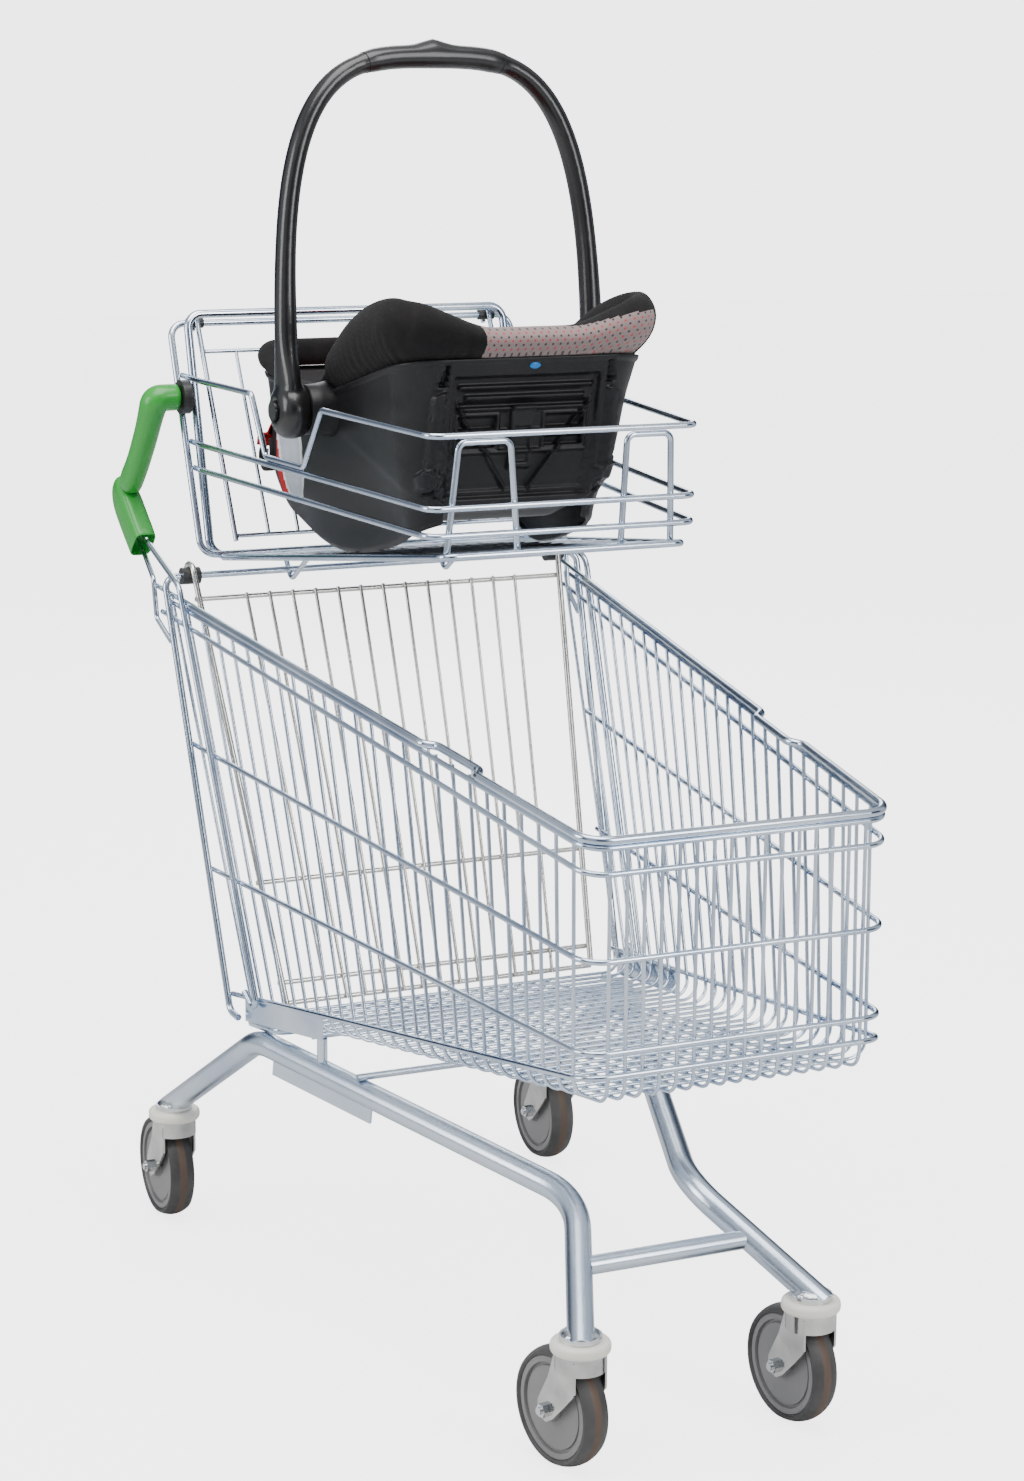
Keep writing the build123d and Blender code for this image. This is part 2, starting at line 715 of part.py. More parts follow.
def bed_hook(y):
    """Wire that dips under the rod across the basket and rises behind the tower's foot."""
    x, z = HINGE_X, HINGE_Z - HOOK_DROP
    foot_x, foot_z = TOWER_IN_FOOT
    front = (x + 52, y, bed_z(x + 52) - 1 - BED_WIRE_D / 2 - HOOK_D / 2 - TOUCH)
    rear = (foot_x - 8.6, y, foot_z - 2.4)
    return bent([front, (x, y, z), rear], HOOK_BEND, HOOK_D)


def front_hoop(feet, tops):
    """Inverted U at the front of the cradle, behind the rails, on the last bed wire."""
    foot_x, foot_z = FRONT_HOOP_X, bed_z(FRONT_HOOP_X) - 1 + BED_WIRE_D / 2 + 1.5 * SEAT_GAP
    top_x = RAIL_TOP[1] - RAIL_D - TOUCH
    points = [(foot_x, feet[0], foot_z), (top_x, tops[0], FRONT_HOOP_Z), (top_x, tops[1], FRONT_HOOP_Z),
              (foot_x, feet[1], foot_z)]
    return bent(points, [9, 9], RAIL_D)


# ---- cradle flap

FLAP_RUN = Vector(math.sin(FLAP_LEAN), 0, -math.cos(FLAP_LEAN))
FLAP_FRONT = Vector(math.cos(FLAP_LEAN), 0, math.sin(FLAP_LEAN))
FLAP_HOOK_R = FLAP_BUSH_D / 2 + SEAT_GAP + FLAP_D / 2


def flap_bush():
    ring = Circle(FLAP_BUSH_D / 2) - Circle(TOWER_OUT_D / 2 + RUNNING)
    place = Pos(TOWER_OUT_TOP[0], -FLAP_Y + FLAP_BUSH_W / 2, TOWER_OUT_TOP[1])
    return place * extrude(Plane.XZ * ring, FLAP_BUSH_W)


def flap_side_rod():
    return hooked_rod(TOWER_OUT_TOP, FLAP_RUN, FLAP_FRONT, FLAP_HOOK_R, FLAP_Y, FLAP_Y, FLAP_LENGTH, FLAP_D)


def flap_level(distance):
    level = FLAP_HOOK_R
    return Vector(TOWER_OUT_TOP[0], 0, TOWER_OUT_TOP[1]) + FLAP_RUN * distance + FLAP_FRONT * level


def flap_bar(distance):
    point = flap_level(distance)
    y = FLAP_Y - FLAP_D / 2 - 3 * TOUCH
    return straight((point.X, -y, point.Z), (point.X, y, point.Z), FLAP_D - 1)


def flap_wire(i):
    y = FLAP_PITCH * (i - (FLAP_WIRES - 1) / 2)
    inset = (FLAP_D - 1) / 2 + 3 * TOUCH
    top = flap_level(FLAP_BARS[0] + inset)
    foot = flap_level(FLAP_BARS[1] - inset)
    return straight((top.X, y, top.Z), (foot.X, y, foot.Z), FLAP_WIRE_D)


# ---- push grips

def grip():
    """Right push grip: a bar out from the tower, an arm down and back, and a thick heel."""
    root, elbow, knee, heel, end = [
        (x, -y, z) for x, y, z in (GRIP_ROOT, GRIP_ELBOW, GRIP_KNEE, GRIP_HEEL, GRIP_END)]
    arm = bent([root, elbow, knee], 17, GRIP_D)
    ball = Pos(*knee) * Sphere(GRIP_D / 2)
    run = (Vector(*end) - Vector(*heel))
    depth, width = GRIP_BLOCK
    frame = Plane(origin=heel, z_dir=run.normalized(), x_dir=Vector(0, 1, 0))
    block = frame * Pos(0, 0, -8) * extrude(RectangleRounded(width, depth, 9), run.length + 8)
    body = arm + ball + block
    recess = RectangleRounded(width - 2 * GRIP_WALL, depth - 2 * GRIP_WALL, 5)
    return body - frame * Pos(0, 0, run.length - GRIP_RECESS) * extrude(recess, 2 * GRIP_RECESS)


def grip_socket(offset):
    """Point on the floor of the right grip's recess, and the point straight outside its mouth."""
    heel, end = [Vector(x, -y, z) for x, y, z in (GRIP_HEEL, GRIP_END)]
    run = (end - heel).normalized()
    across = Vector(-run.Z, 0, run.X).normalized()
    mouth = end + across * offset + run * 3
    return tuple(mouth - run * (GRIP_RECESS + 3 - SEAT_GAP)), tuple(mouth)


def grip_flange():
    """Black clamp between the right grip and the tower's outer loop, which passes through it."""
    x, y, z = GRIP_ROOT
    disc = Pos(x, -y + GRIP_FLANGE_T + TOUCH, z) * extrude(Plane.XZ * Circle(GRIP_FLANGE_D / 2), GRIP_FLANGE_T)
    rod = closed_loop(TOWER_OUT_TOP, TOWER_OUT_FOOT, TOWER_OUT_Y, TOWER_OUT_D + 2 * TOUCH)[0]
    return disc - rod


# ---- infant seat, drawn flat in its own frame: u along the seat, w up from the cradle's bed

BED_TOP = bed_z(SEAT_X) - 1 + BED_WIRE_D / 2
SEAT_PLACE = Pos(SEAT_X, 0, BED_TOP + SEAT_GAP) * Rot(0, -SEAT_TILT, 0)


def bowl(inset, low, high):
    """Solid of the seat's outer form between two levels, drawn in by inset all round."""
    levels = [lv for lv in SHELL_LEVELS if low < lv[0] < high]
    levels = [shell_level(low)] + levels + [shell_level(high)]
    sections = []
    for w, foot, head, half in levels:
        size = (head - foot - 2 * inset, 2 * (half - inset))
        corner = SHELL_CORNER - inset * 0.6
        sections.append(Pos((foot + head) / 2, 0, w) * RectangleRounded(*size, corner))
    return loft(sections, ruled=True)


def shell_level(w):
    for a, b in zip(SHELL_LEVELS, SHELL_LEVELS[1:]):
        if a[0] <= w <= b[0]:
            t = (w - a[0]) / (b[0] - a[0])
            return tuple(p + (q - p) * t for p, q in zip(a, b))
    return (w,) + (SHELL_LEVELS[0] if w < SHELL_LEVELS[0][0] else SHELL_LEVELS[-1])[1:]


def above(curve, lift=0):
    """Everything above a rim line given as (u, w) points."""
    line = Spline(*[(u, w + lift) for u, w in curve])
    (u0, w0), (u1, w1) = curve[0], curve[-1]
    box = Polyline((u1, w1 + lift), (u1, 600), (u0, 600), (u0, w0 + lift))
    face = Plane.XZ * make_face(Wire([line, *box.edges()]))
    return extrude(face, 400, both=True)


def rocker():
    """One of the two curved runners under the shell."""
    u0, u1 = RUNNER_U
    line = ThreePointArc((u0, RUNNER_W[0]), (RUNNER_LOW_U, 0), (u1, RUNNER_W[1]))
    top = Polyline((u1, RUNNER_W[1]), (u1 - 6, RUNNER_TOP), (u0 + 6, RUNNER_TOP), (u0, RUNNER_W[0]))
    face = Plane.XZ * make_face(Wire([line, *top.edges()]))
    return Pos(0, -RUNNER_Y + RUNNER_T / 2, 0) * extrude(face, RUNNER_T)


def hub_place():
    """Pivot of the carry handle in the seat's own frame."""
    return SEAT_PLACE.inverse() * Pos(HUB_X, 0, HUB_Z)


def seat_shell():
    outer = bowl(0, SHELL_LEVELS[0][0], SHELL_TOP)
    inner = bowl(SHELL_T, SHELL_LEVELS[0][0] + SHELL_T, SHELL_TOP + 1)
    wall = outer - inner - above(SHELL_RIM)
    for runner in pair(rocker() - inner):
        wall += runner
    boss = extrude(Plane.XZ * Circle(BOSS_R), HUB_IN_Y - SEAT_GAP)
    pin = extrude(Plane.XZ * Circle(PIVOT_D / 2), HUB_IN_Y + PIVOT_L)
    pivot = hub_place() * (boss + pin)
    lug = pivot - Pos(0, 300 - BOSS_FOOT_Y, 0) * Box(900, 600, 900)
    for side in pair(lug - inner):
        wall += side
    return (SEAT_PLACE * wall).solids().sort_by(SortBy.VOLUME)[-1]


def seat_cover():
    """Padded cover that stands on the shell's rim."""
    top = SHELL_LEVELS[-1][0]
    low = min(w for _, w in SHELL_RIM) - 2
    outer = bowl(0, low, top)
    inner = bowl(COVER_T, low - 1, top + 1)
    band = ((outer - inner) & above(SHELL_RIM, SEAT_GAP)) - above(COVER_TOP)
    band -= hub_place() * extrude(Plane.XZ * Circle(BOSS_R + SEAT_GAP), 300, both=True)
    return SEAT_PLACE * band


def seat_liner():
    """Pad inside the shell."""
    low = SHELL_LEVELS[0][0] + SHELL_T + 1
    outer = bowl(SHELL_T + 0.5, low, SHELL_TOP)
    inner = bowl(SHELL_T + LINER_T, low + LINER_T, SHELL_TOP + 1)
    return SEAT_PLACE * (outer - inner - above(SHELL_RIM, -4))


def carry_handle():
    arch = FilletPolyline(
        (-ARCH_Y, 0), (-ARCH_Y + 3, ARCH_TOP - 150), (-ARCH_Y + 66, ARCH_TOP), (ARCH_Y - 66, ARCH_TOP),
        (ARCH_Y - 3, ARCH_TOP - 150), (ARCH_Y, 0), radius=[170, 90, 90, 170],
    )
    path = Plane.YZ * arch
    section = Plane(origin=path @ 0, z_dir=path % 0, x_dir=(0, 1, 0)) * Ellipse(ARCH_SIZE[0] / 2, ARCH_SIZE[1] / 2)
    bow = sweep(section, path=path)
    hub = extrude(Plane.XZ * Circle(HUB_D / 2), HUB_OUT_Y - HUB_IN_Y)
    hub = fillet(hub.edges().filter_by(GeomType.CIRCLE), 7)
    body = bow
    for side in (-1, 1):
        near = -HUB_IN_Y if side < 0 else HUB_OUT_Y
        body += Pos(0, near, 0) * hub
    bore = extrude(Plane.XZ * Circle(PIVOT_D / 2 + RUNNING), PIVOT_L + 1)
    pocket = extrude(Plane.XZ * Circle(BUTTON_D / 2 + RUNNING), BUTTON_DEPTH)
    body -= Pos(0, -HUB_IN_Y, 0) * bore
    body -= Pos(0, HUB_IN_Y + PIVOT_L + 1, 0) * bore
    body -= Pos(0, -HUB_OUT_Y + BUTTON_DEPTH, 0) * pocket
    body -= Pos(0, HUB_OUT_Y, 0) * pocket
    return Pos(HUB_X, 0, HUB_Z) * Rot(0, ARCH_LEAN, 0) * body


def handle_button():
    cap = extrude(Plane.XZ * Circle(BUTTON_D / 2), BUTTON_L)
    floor = -HUB_OUT_Y + BUTTON_DEPTH - BUTTON_TRAVEL - SEAT_GAP
    return Pos(HUB_X, floor, HUB_Z) * cap


# ---- assembly

def solids_in(shapes):
    found = []
    for shape in shapes:
        found += shape.solids()
    return found


def cart_parts():
    solid_tubes = [chassis_tube(-1, 0), chassis_tube(1, 0)]
    places = {name: castor_place(name) for name in stems()}
    parts = {
        "chassis_tube_right": [chassis_tube(-1, TUBE_WALL)],
        "chassis_tube_left": [chassis_tube(1, TUBE_WALL)],
        "chassis_crossbars": [front_crossbar(solid_tubes), mid_bar()],
        "guide_strips": pair(guide_strip()),
        "basket_support_rods": [support_rod(), sleeper()] + pair(sleeper_boss(solid_tubes[0])),
        "corner_brackets": pair(corner_bracket()),
        "castor_flanges": [place * flange() for place in places.values()],
        "castor_kingpins": [place * kingpin() for place in places.values()],
        "thread_guards": [place * thread_guard() for place in places.values()],
    }
    for name, place in places.items():
        parts["fork_" + name] = [place * fork()]
        parts["axle_" + name] = [place * piece for piece in axle()]
        parts["wheel_disc_" + name] = [place * wheel_disc()]
        parts["tyre_" + name] = [place * tyre()]
    return parts


def basket_parts():
    sides = [side_wire(x) for x in side_xs()]
    parts = {
        "rim_rod": [rim_rod()],
        "rim_under_wire": [hoop(RIM_Z0 - UNDER_RIM_DROP, RIM_SLOPE, UNDER_RIM_REAR_X)],
        "side_wires_right": sides,
        "side_wires_left": [left_of(wire) for wire in sides],
        "front_wires": [front_wire(y) for y in front_ys()],
        "floor_cross_wires": [floor_cross_wire(x) for x in side_xs()],
        "floor_long_wires": [floor_long_wire(y) for y in front_ys()],
        "rear_frame_rod": [rear_frame_rod()],
        "grip_posts": pair(grip_post()),
        "gate_side_rods": pair(gate_side_rod()),
        "gate_bars": [gate_bar(d) for d in GATE_BARS],
        "gate_wires": [gate_wire(i) for i in range(GATE_WIRES)],
        "gate_bushes": pair(gate_bush()),
        "basket_hoops": [hoop(*sizes) for sizes in HOOPS],
        "rear_brace_wires": pair(brace_wire()) + pair(rim_tail()),
    }
    return parts


def cradle_parts():
    parts = {
        "tower_inner_loop": closed_loop(TOWER_IN_TOP, TOWER_IN_FOOT, TOWER_IN_Y, TOWER_IN_D),
        "tower_outer_loop": closed_loop(TOWER_OUT_TOP, TOWER_OUT_FOOT, TOWER_OUT_Y, TOWER_OUT_D),
        "cradle_bed_frame": [bed_frame()],
        "cradle_bed_wires": bed_wires(),
        "cradle_hooks": [bed_hook(y) for y in HOOK_Y],
        "cradle_front_hoops": [front_hoop(*ys) for ys in FRONT_HOOPS],
        "flap_bushes": pair(flap_bush()),
        "flap_side_rods": pair(flap_side_rod()),
        "flap_bars": [flap_bar(d) for d in FLAP_BARS],
        "flap_wires": [flap_wire(i) for i in range(FLAP_WIRES)],
        "push_grip_right": [grip()],
        "push_grip_left": [left_of(grip())],
        "grip_flanges": pair(grip_flange()),
        "cradle_rails": [rail(*RAIL_TOP, True), rail(*RAIL_MIDDLE, False), rail(*RAIL_LOW, False)],
    }
    return parts


def seat_parts():
    button = handle_button()
    return {
        "seat_shell": [seat_shell()],
        "seat_cover": [seat_cover()],
        "seat_liner": [seat_liner()],
        "carry_handle": [carry_handle()],
        "handle_button_right": [button],
        "handle_button_left": [left_of(button)],
    }


def middle_x(parts):
    boxes = [solid.bounding_box() for shapes in parts.values() for solid in shapes]
    return (min(b.min.X for b in boxes) + max(b.max.X for b in boxes)) / 2


PARTS = {**cart_parts(), **basket_parts(), **cradle_parts(), **seat_parts()}
SHIFT_X = -middle_x(PARTS)

for name, shapes in PARTS.items():
    moved = [Pos(SHIFT_X, 0, 0) * solid for solid in solids_in(shapes)]
    export_step(moved[0] if len(moved) == 1 else Compound(children=moved), f"parts/{name}.step")
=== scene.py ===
import json
import math

import bmesh
import bpy
from mathutils import Matrix, Vector, noise


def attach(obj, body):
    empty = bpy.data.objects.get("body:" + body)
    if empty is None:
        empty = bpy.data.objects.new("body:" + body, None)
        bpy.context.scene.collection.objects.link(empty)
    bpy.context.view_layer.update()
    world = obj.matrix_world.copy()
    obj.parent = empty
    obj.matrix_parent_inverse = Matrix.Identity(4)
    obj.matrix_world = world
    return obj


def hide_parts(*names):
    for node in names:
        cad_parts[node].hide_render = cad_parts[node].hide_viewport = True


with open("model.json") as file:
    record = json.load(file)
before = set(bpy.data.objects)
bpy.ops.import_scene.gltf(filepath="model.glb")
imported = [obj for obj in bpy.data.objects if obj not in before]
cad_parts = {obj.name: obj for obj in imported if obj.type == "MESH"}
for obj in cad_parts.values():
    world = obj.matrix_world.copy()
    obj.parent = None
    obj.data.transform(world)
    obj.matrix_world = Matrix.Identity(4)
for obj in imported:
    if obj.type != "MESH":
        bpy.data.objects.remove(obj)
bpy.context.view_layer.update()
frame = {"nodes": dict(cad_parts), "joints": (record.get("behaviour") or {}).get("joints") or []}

# ---- Camera
# A long lens stands to the right of the nose, at the height of the cradle, and looks a little down.

stand = Vector((3.162, -1.503, 1.389))
turn, drop, roll = math.radians(25.5), math.radians(11.86), math.radians(0.4)
look = Vector((-math.cos(turn) * math.cos(drop), math.sin(turn) * math.cos(drop), -math.sin(drop)))
level = look.cross(Vector((0, 0, 1))).normalized()
upright = level.cross(look)
right = level * math.cos(roll) + upright * math.sin(roll)
up = upright * math.cos(roll) - level * math.sin(roll)
camera = bpy.data.objects.new("camera", bpy.data.cameras.new("camera"))
bpy.context.scene.collection.objects.link(camera)
camera.data.lens = 78.5
camera.data.sensor_width = 36
camera.matrix_world = Matrix.Translation(stand) @ Matrix((right, up, -look)).transposed().to_4x4()
bpy.context.scene.camera = camera

# ---- Studio
# A wide pale floor under a white surround. Large soft lamps stand above, in front and to both sides,
# and the surround has light and dark panels, so that bright metal shows light and dark streaks.


def new_material(name, **sockets):
    """A material with its Principled shader's own sockets set."""
    material = bpy.data.materials.new(name)
    material.use_nodes = True
    shader = material.node_tree.nodes["Principled BSDF"]
    for socket, value in sockets.items():
        shader.inputs[socket.replace("_", " ")].default_value = value
    return material, material.node_tree, shader


def feed(tree, socket, value):
    """Sets a socket to a number or a colour, or links it to another socket."""
    if isinstance(value, (int, float, tuple)):
        socket.default_value = value
    else:
        tree.links.new(value, socket)


def maths(tree, operation, *values):
    """The result of one math node."""
    node = tree.nodes.new("ShaderNodeMath")
    node.operation = operation
    for socket, value in zip(node.inputs, values):
        feed(tree, socket, value)
    return node.outputs[0]


def ranged(tree, value, low, high, start=0.3, end=0.7):
    """value from start to end becomes low to high."""
    node = tree.nodes.new("ShaderNodeMapRange")
    entries = {"Value": value, "From Min": start, "From Max": end, "To Min": low, "To Max": high}
    for name, entry in entries.items():
        feed(tree, node.inputs[name], entry)
    return node.outputs["Result"]


def blended(tree, factor, first, second):
    """A mix of two colours, each a socket or a colour."""
    node = tree.nodes.new("ShaderNodeMix")
    node.data_type = "RGBA"
    for name, entry in (("Factor", factor), ("A", first), ("B", second)):
        feed(tree, node.inputs[name], entry)
    return node.outputs["Result"]


reach = 14
corners = [(-reach, -reach, 0), (reach, -reach, 0), (reach, reach, 0), (-reach, reach, 0)]
floor_mesh = bpy.data.meshes.new("studio_floor")
floor_mesh.from_pydata(corners, [], [(0, 1, 2, 3)])
studio_floor = bpy.data.objects.new("studio_floor", floor_mesh)
bpy.context.scene.collection.objects.link(studio_floor)
floor_material, tree, shader = new_material(
    "studio white", Base_Color=(0.62, 0.62, 0.62, 1), Roughness=0.8, Emission_Color=(1, 1, 1, 1))
seen = tree.nodes.new("ShaderNodeLightPath").outputs["Is Camera Ray"]
floor_glow, surround_white = 3.3, 3.8
tree.links.new(maths(tree, "MULTIPLY", seen, floor_glow), shader.inputs["Emission Strength"])
floor_mesh.materials.append(floor_material)

world = bpy.data.worlds.new("studio")
bpy.context.scene.world = world
world.use_nodes = True
tree = world.node_tree
background = tree.nodes["Background"]
seen = tree.nodes.new("ShaderNodeLightPath").outputs["Is Camera Ray"]
split = tree.nodes.new("ShaderNodeSeparateXYZ")
tree.links.new(tree.nodes.new("ShaderNodeTexCoord").outputs["Generated"], split.inputs[0])
panel_pairs = 5.0
bearing = maths(tree, "ARCTAN2", split.outputs["Y"], split.outputs["X"])
swing = maths(tree, "SINE", maths(tree, "MULTIPLY", bearing, panel_pairs))
panels = ranged(tree, swing, 0.0, 1.0, -0.35, 0.45)
sides = blended(tree, panels, (0.035, 0.05, 0.085, 1), (0.62, 0.68, 0.76, 1))
overhead = ranged(tree, split.outputs["Z"], 0.0, 1.0, 0.35, 0.8)
dome = blended(tree, overhead, sides, (0.75, 0.77, 0.8, 1))
lit = blended(tree, seen, dome, (surround_white, surround_white, surround_white, 1))
tree.links.new(lit, background.inputs["Color"])
background.inputs["Strength"].default_value = 1.0


def soft_lamp(name, place, aim, size, power):
    """A rectangular lamp at place that faces aim."""
    data = bpy.data.lights.new(name, "AREA")
    data.shape = "RECTANGLE"
    data.size, data.size_y = size
    data.energy = power
    lamp = bpy.data.objects.new(name, data)
    bpy.context.scene.collection.objects.link(lamp)
    lamp.location = place
    lamp.rotation_mode = "QUATERNION"
    lamp.rotation_quaternion = (Vector(aim) - Vector(place)).to_track_quat("-Z", "Y")


soft_lamp("lamp_over", (0.6, -0.5, 4.2), (0, 0, 0.7), (3.0, 3.0), 170)
soft_lamp("lamp_front", (3.8, 1.4, 2.3), (0, 0, 0.8), (1.2, 2.4), 75)
soft_lamp("lamp_side", (-0.4, -3.8, 2.0), (0, 0, 0.8), (1.6, 2.2), 75)
soft_lamp("lamp_rear", (-3.6, 1.5, 2.4), (0, 0, 0.9), (1.6, 2.4), 40)

# ---- Zinc-plated steel: basket, chassis and cradle
# The wires and tubes are drawn steel, welded up and then plated with bright zinc. The plating has a cool
# shine, with faint clouds and a fine drawn texture, and a warmer bloom on the gate.


def new_group(name, inputs, outputs):
    """A shader node group with named sockets; returns the group, its input node and its output node."""
    group = bpy.data.node_groups.new(name, "ShaderNodeTree")
    for label, kind, value in inputs:
        socket = group.interface.new_socket(label, in_out="INPUT", socket_type=kind)
        socket.default_value = value
    for label, kind in outputs:
        group.interface.new_socket(label, in_out="OUTPUT", socket_type=kind)
    return group, group.nodes.new("NodeGroupInput"), group.nodes.new("NodeGroupOutput")


def noise_at(tree, coordinates, scale, detail=3.0, rough=0.5):
    """A noise texture; scale is a number or a socket."""
    texture = tree.nodes.new("ShaderNodeTexNoise")
    texture.inputs["Detail"].default_value = detail
    texture.inputs["Roughness"].default_value = rough
    feed(tree, texture.inputs["Vector"], coordinates)
    feed(tree, texture.inputs["Scale"], scale)
    return texture.outputs["Fac"]


def bumped(tree, height, strength, distance):
    """A normal that is raised where height is more; strength is a number or a socket."""
    node = tree.nodes.new("ShaderNodeBump")
    for name, entry in (("Distance", distance), ("Strength", strength), ("Height", height)):
        feed(tree, node.inputs[name], entry)
    return node.outputs["Normal"]


plating, inside, outside = new_group(
    "zinc plating",
    [("Bright", "NodeSocketColor", (0.8, 0.83, 0.87, 1)), ("Cloud", "NodeSocketColor", (0.55, 0.6, 0.68, 1)),
     ("Gloss", "NodeSocketFloat", 0.25), ("Cloud scale", "NodeSocketFloat", 14.0)],
    [("Color", "NodeSocketColor"), ("Roughness", "NodeSocketFloat"), ("Normal", "NodeSocketVector")])
place = plating.nodes.new("ShaderNodeTexCoord").outputs["Object"]
clouds = noise_at(plating, place, inside.outputs["Cloud scale"], 4)
spangle = noise_at(plating, place, 420, 2)
amount = ranged(plating, clouds, 0.0, 1.0, 0.38, 0.66)
tone = blended(plating, amount, inside.outputs["Bright"], inside.outputs["Cloud"])
plating.links.new(tone, outside.inputs["Color"])
dulling = 0.03
rough = maths(plating, "MULTIPLY_ADD", spangle, dulling, inside.outputs["Gloss"])
plating.links.new(rough, outside.inputs["Roughness"])
plating.links.new(bumped(plating, spangle, 0.008, 0.0003), outside.inputs["Normal"])


def with_group(name, group, outputs, settings, **sockets):
    """A material whose shader takes the named outputs of a group that has these settings."""
    material, tree, shader = new_material(name, **sockets)
    node = tree.nodes.new("ShaderNodeGroup")
    node.node_tree = group
    for label, value in settings.items():
        node.inputs[label].default_value = value
    for label, socket in outputs.items():
        tree.links.new(node.outputs[label], shader.inputs[socket])
    return material


FINISH = {"Color": "Base Color", "Roughness": "Roughness", "Normal": "Normal"}
wire_zinc = with_group("zinc wire", plating, FINISH, {
    "Bright": (0.70, 0.77, 0.86, 1), "Cloud": (0.46, 0.54, 0.66, 1), "Gloss": 0.16, "Cloud scale": 9.0},
    Metallic=1.0)
tube_zinc = with_group("zinc tube", plating, FINISH, {
    "Bright": (0.68, 0.74, 0.82, 1), "Cloud": (0.52, 0.60, 0.71, 1), "Gloss": 0.24, "Cloud scale": 6.0},
    Metallic=1.0)
gate_zinc = with_group("zinc gate", plating, FINISH, {
    "Bright": (0.80, 0.77, 0.70, 1), "Cloud": (0.58, 0.56, 0.51, 1), "Gloss": 0.18, "Cloud scale": 12.0},
    Metallic=1.0)


def paint(material, *nodes):
    """Gives CAD nodes a material."""
    for node in nodes:
        piece = frame["nodes"][node]
        if not piece.data.materials:
            piece.data.materials.append(material)
        for slot in piece.material_slots:
            slot.material = material


paint(wire_zinc, "rim_rod", "rim_under_wire", "basket_hoops", "side_wires_left", "side_wires_right",
      "front_wires", "floor_long_wires", "floor_cross_wires", "rear_frame_rod", "grip_posts",
      "rear_brace_wires", "corner_brackets", "tower_inner_loop", "tower_outer_loop", "cradle_bed_frame",
      "cradle_bed_wires", "cradle_hooks", "cradle_front_hoops", "cradle_rails", "flap_side_rods",
      "flap_bars", "flap_wires", "basket_support_rods")
paint(tube_zinc, "chassis_tube_left", "chassis_tube_right", "chassis_crossbars", "guide_strips")
paint(gate_zinc, "gate_side_rods", "gate_bars", "gate_wires")


def link_mesh(name, points, faces, material, smooth=True):
    """A mesh object from points in metres."""
    mesh = bpy.data.meshes.new(name)
    mesh.from_pydata([tuple(p) for p in points], [], faces)
    mesh.validate()
    mesh.polygons.foreach_set("use_smooth", [smooth] * len(mesh.polygons))
    materials = material if isinstance(material, (list, tuple)) else [material]
    for entry in materials:
        mesh.materials.append(entry)
    piece = bpy.data.objects.new(name, mesh)
    bpy.context.scene.collection.objects.link(piece)
    return piece


def skin(name, rings, material, ends=True, round_again=False):
    """A surface through closed rings of points; ends closes it with caps, round_again joins last to first."""
    count = len(rings[0])
    points = [p for ring in rings for p in ring]
    faces = []
    steps = len(rings) if round_again else len(rings) - 1
    for i in range(steps):
        a, b = i * count, ((i + 1) % len(rings)) * count
        for j in range(count):
            k = (j + 1) % count
            faces.append((a + j, a + k, b + k, b + j))
    if ends and not round_again:
        faces.append(tuple(reversed(range(count))))
        faces.append(tuple(range(len(points) - count, len(points))))
    return link_mesh(name, points, faces, material)


def turned(name, centre, axis, profile, material, around=48, wobble=0.0):
    """A turned piece: profile is (distance along the axis, radius) in metres."""
    axis = Vector(axis).normalized()
    side = axis.orthogonal().normalized()
    other = axis.cross(side)
    rings = []
    for along, radius in profile:
        ring = []
        for j in range(around):
            a = 2 * math.pi * j / around
            r = radius + wobble * noise.noise(Vector((math.cos(a) * 6, math.sin(a) * 6, along * 900)))
            ring.append(Vector(centre) + axis * along + side * (r * math.cos(a)) + other * (r * math.sin(a)))
        rings.append(ring)
    return skin(name, rings, material)


# ---- Castors
# Each swivel castor has a plated flange welded to the tube, a cream plastic thread guard over the ball
# race, a pressed fork, a hexagon axle bolt, and a grey plastic wheel with a rubber tyre.

joints = {joint["name"]: joint for joint in frame["joints"]}

moulding, inside, outside = new_group(
    "moulded plastic",
    [("Color", "NodeSocketColor", (0.5, 0.5, 0.5, 1)), ("Grain scale", "NodeSocketFloat", 900.0),
     ("Grain", "NodeSocketFloat", 0.2), ("Gloss", "NodeSocketFloat", 0.35), ("Dust", "NodeSocketFloat", 0.1)],
    [("Color", "NodeSocketColor"), ("Roughness", "NodeSocketFloat"), ("Normal", "NodeSocketVector")])
place = moulding.nodes.new("ShaderNodeTexCoord").outputs["Object"]
grain = noise_at(moulding, place, inside.outputs["Grain scale"], 2)
patches = noise_at(moulding, place, 17, 5)
dust_colour, patchy = (0.55, 0.53, 0.5, 1), 0.16
dusty = maths(moulding, "MULTIPLY", ranged(moulding, patches, 0.0, 1.0, 0.4, 0.75), inside.outputs["Dust"])
moulding.links.new(blended(moulding, dusty, inside.outputs["Color"], dust_colour), outside.inputs["Color"])
shine = maths(moulding, "MULTIPLY_ADD", patches, patchy, inside.outputs["Gloss"])
moulding.links.new(shine, outside.inputs["Roughness"])
moulding.links.new(bumped(moulding, grain, inside.outputs["Grain"], 0.0006), outside.inputs["Normal"])

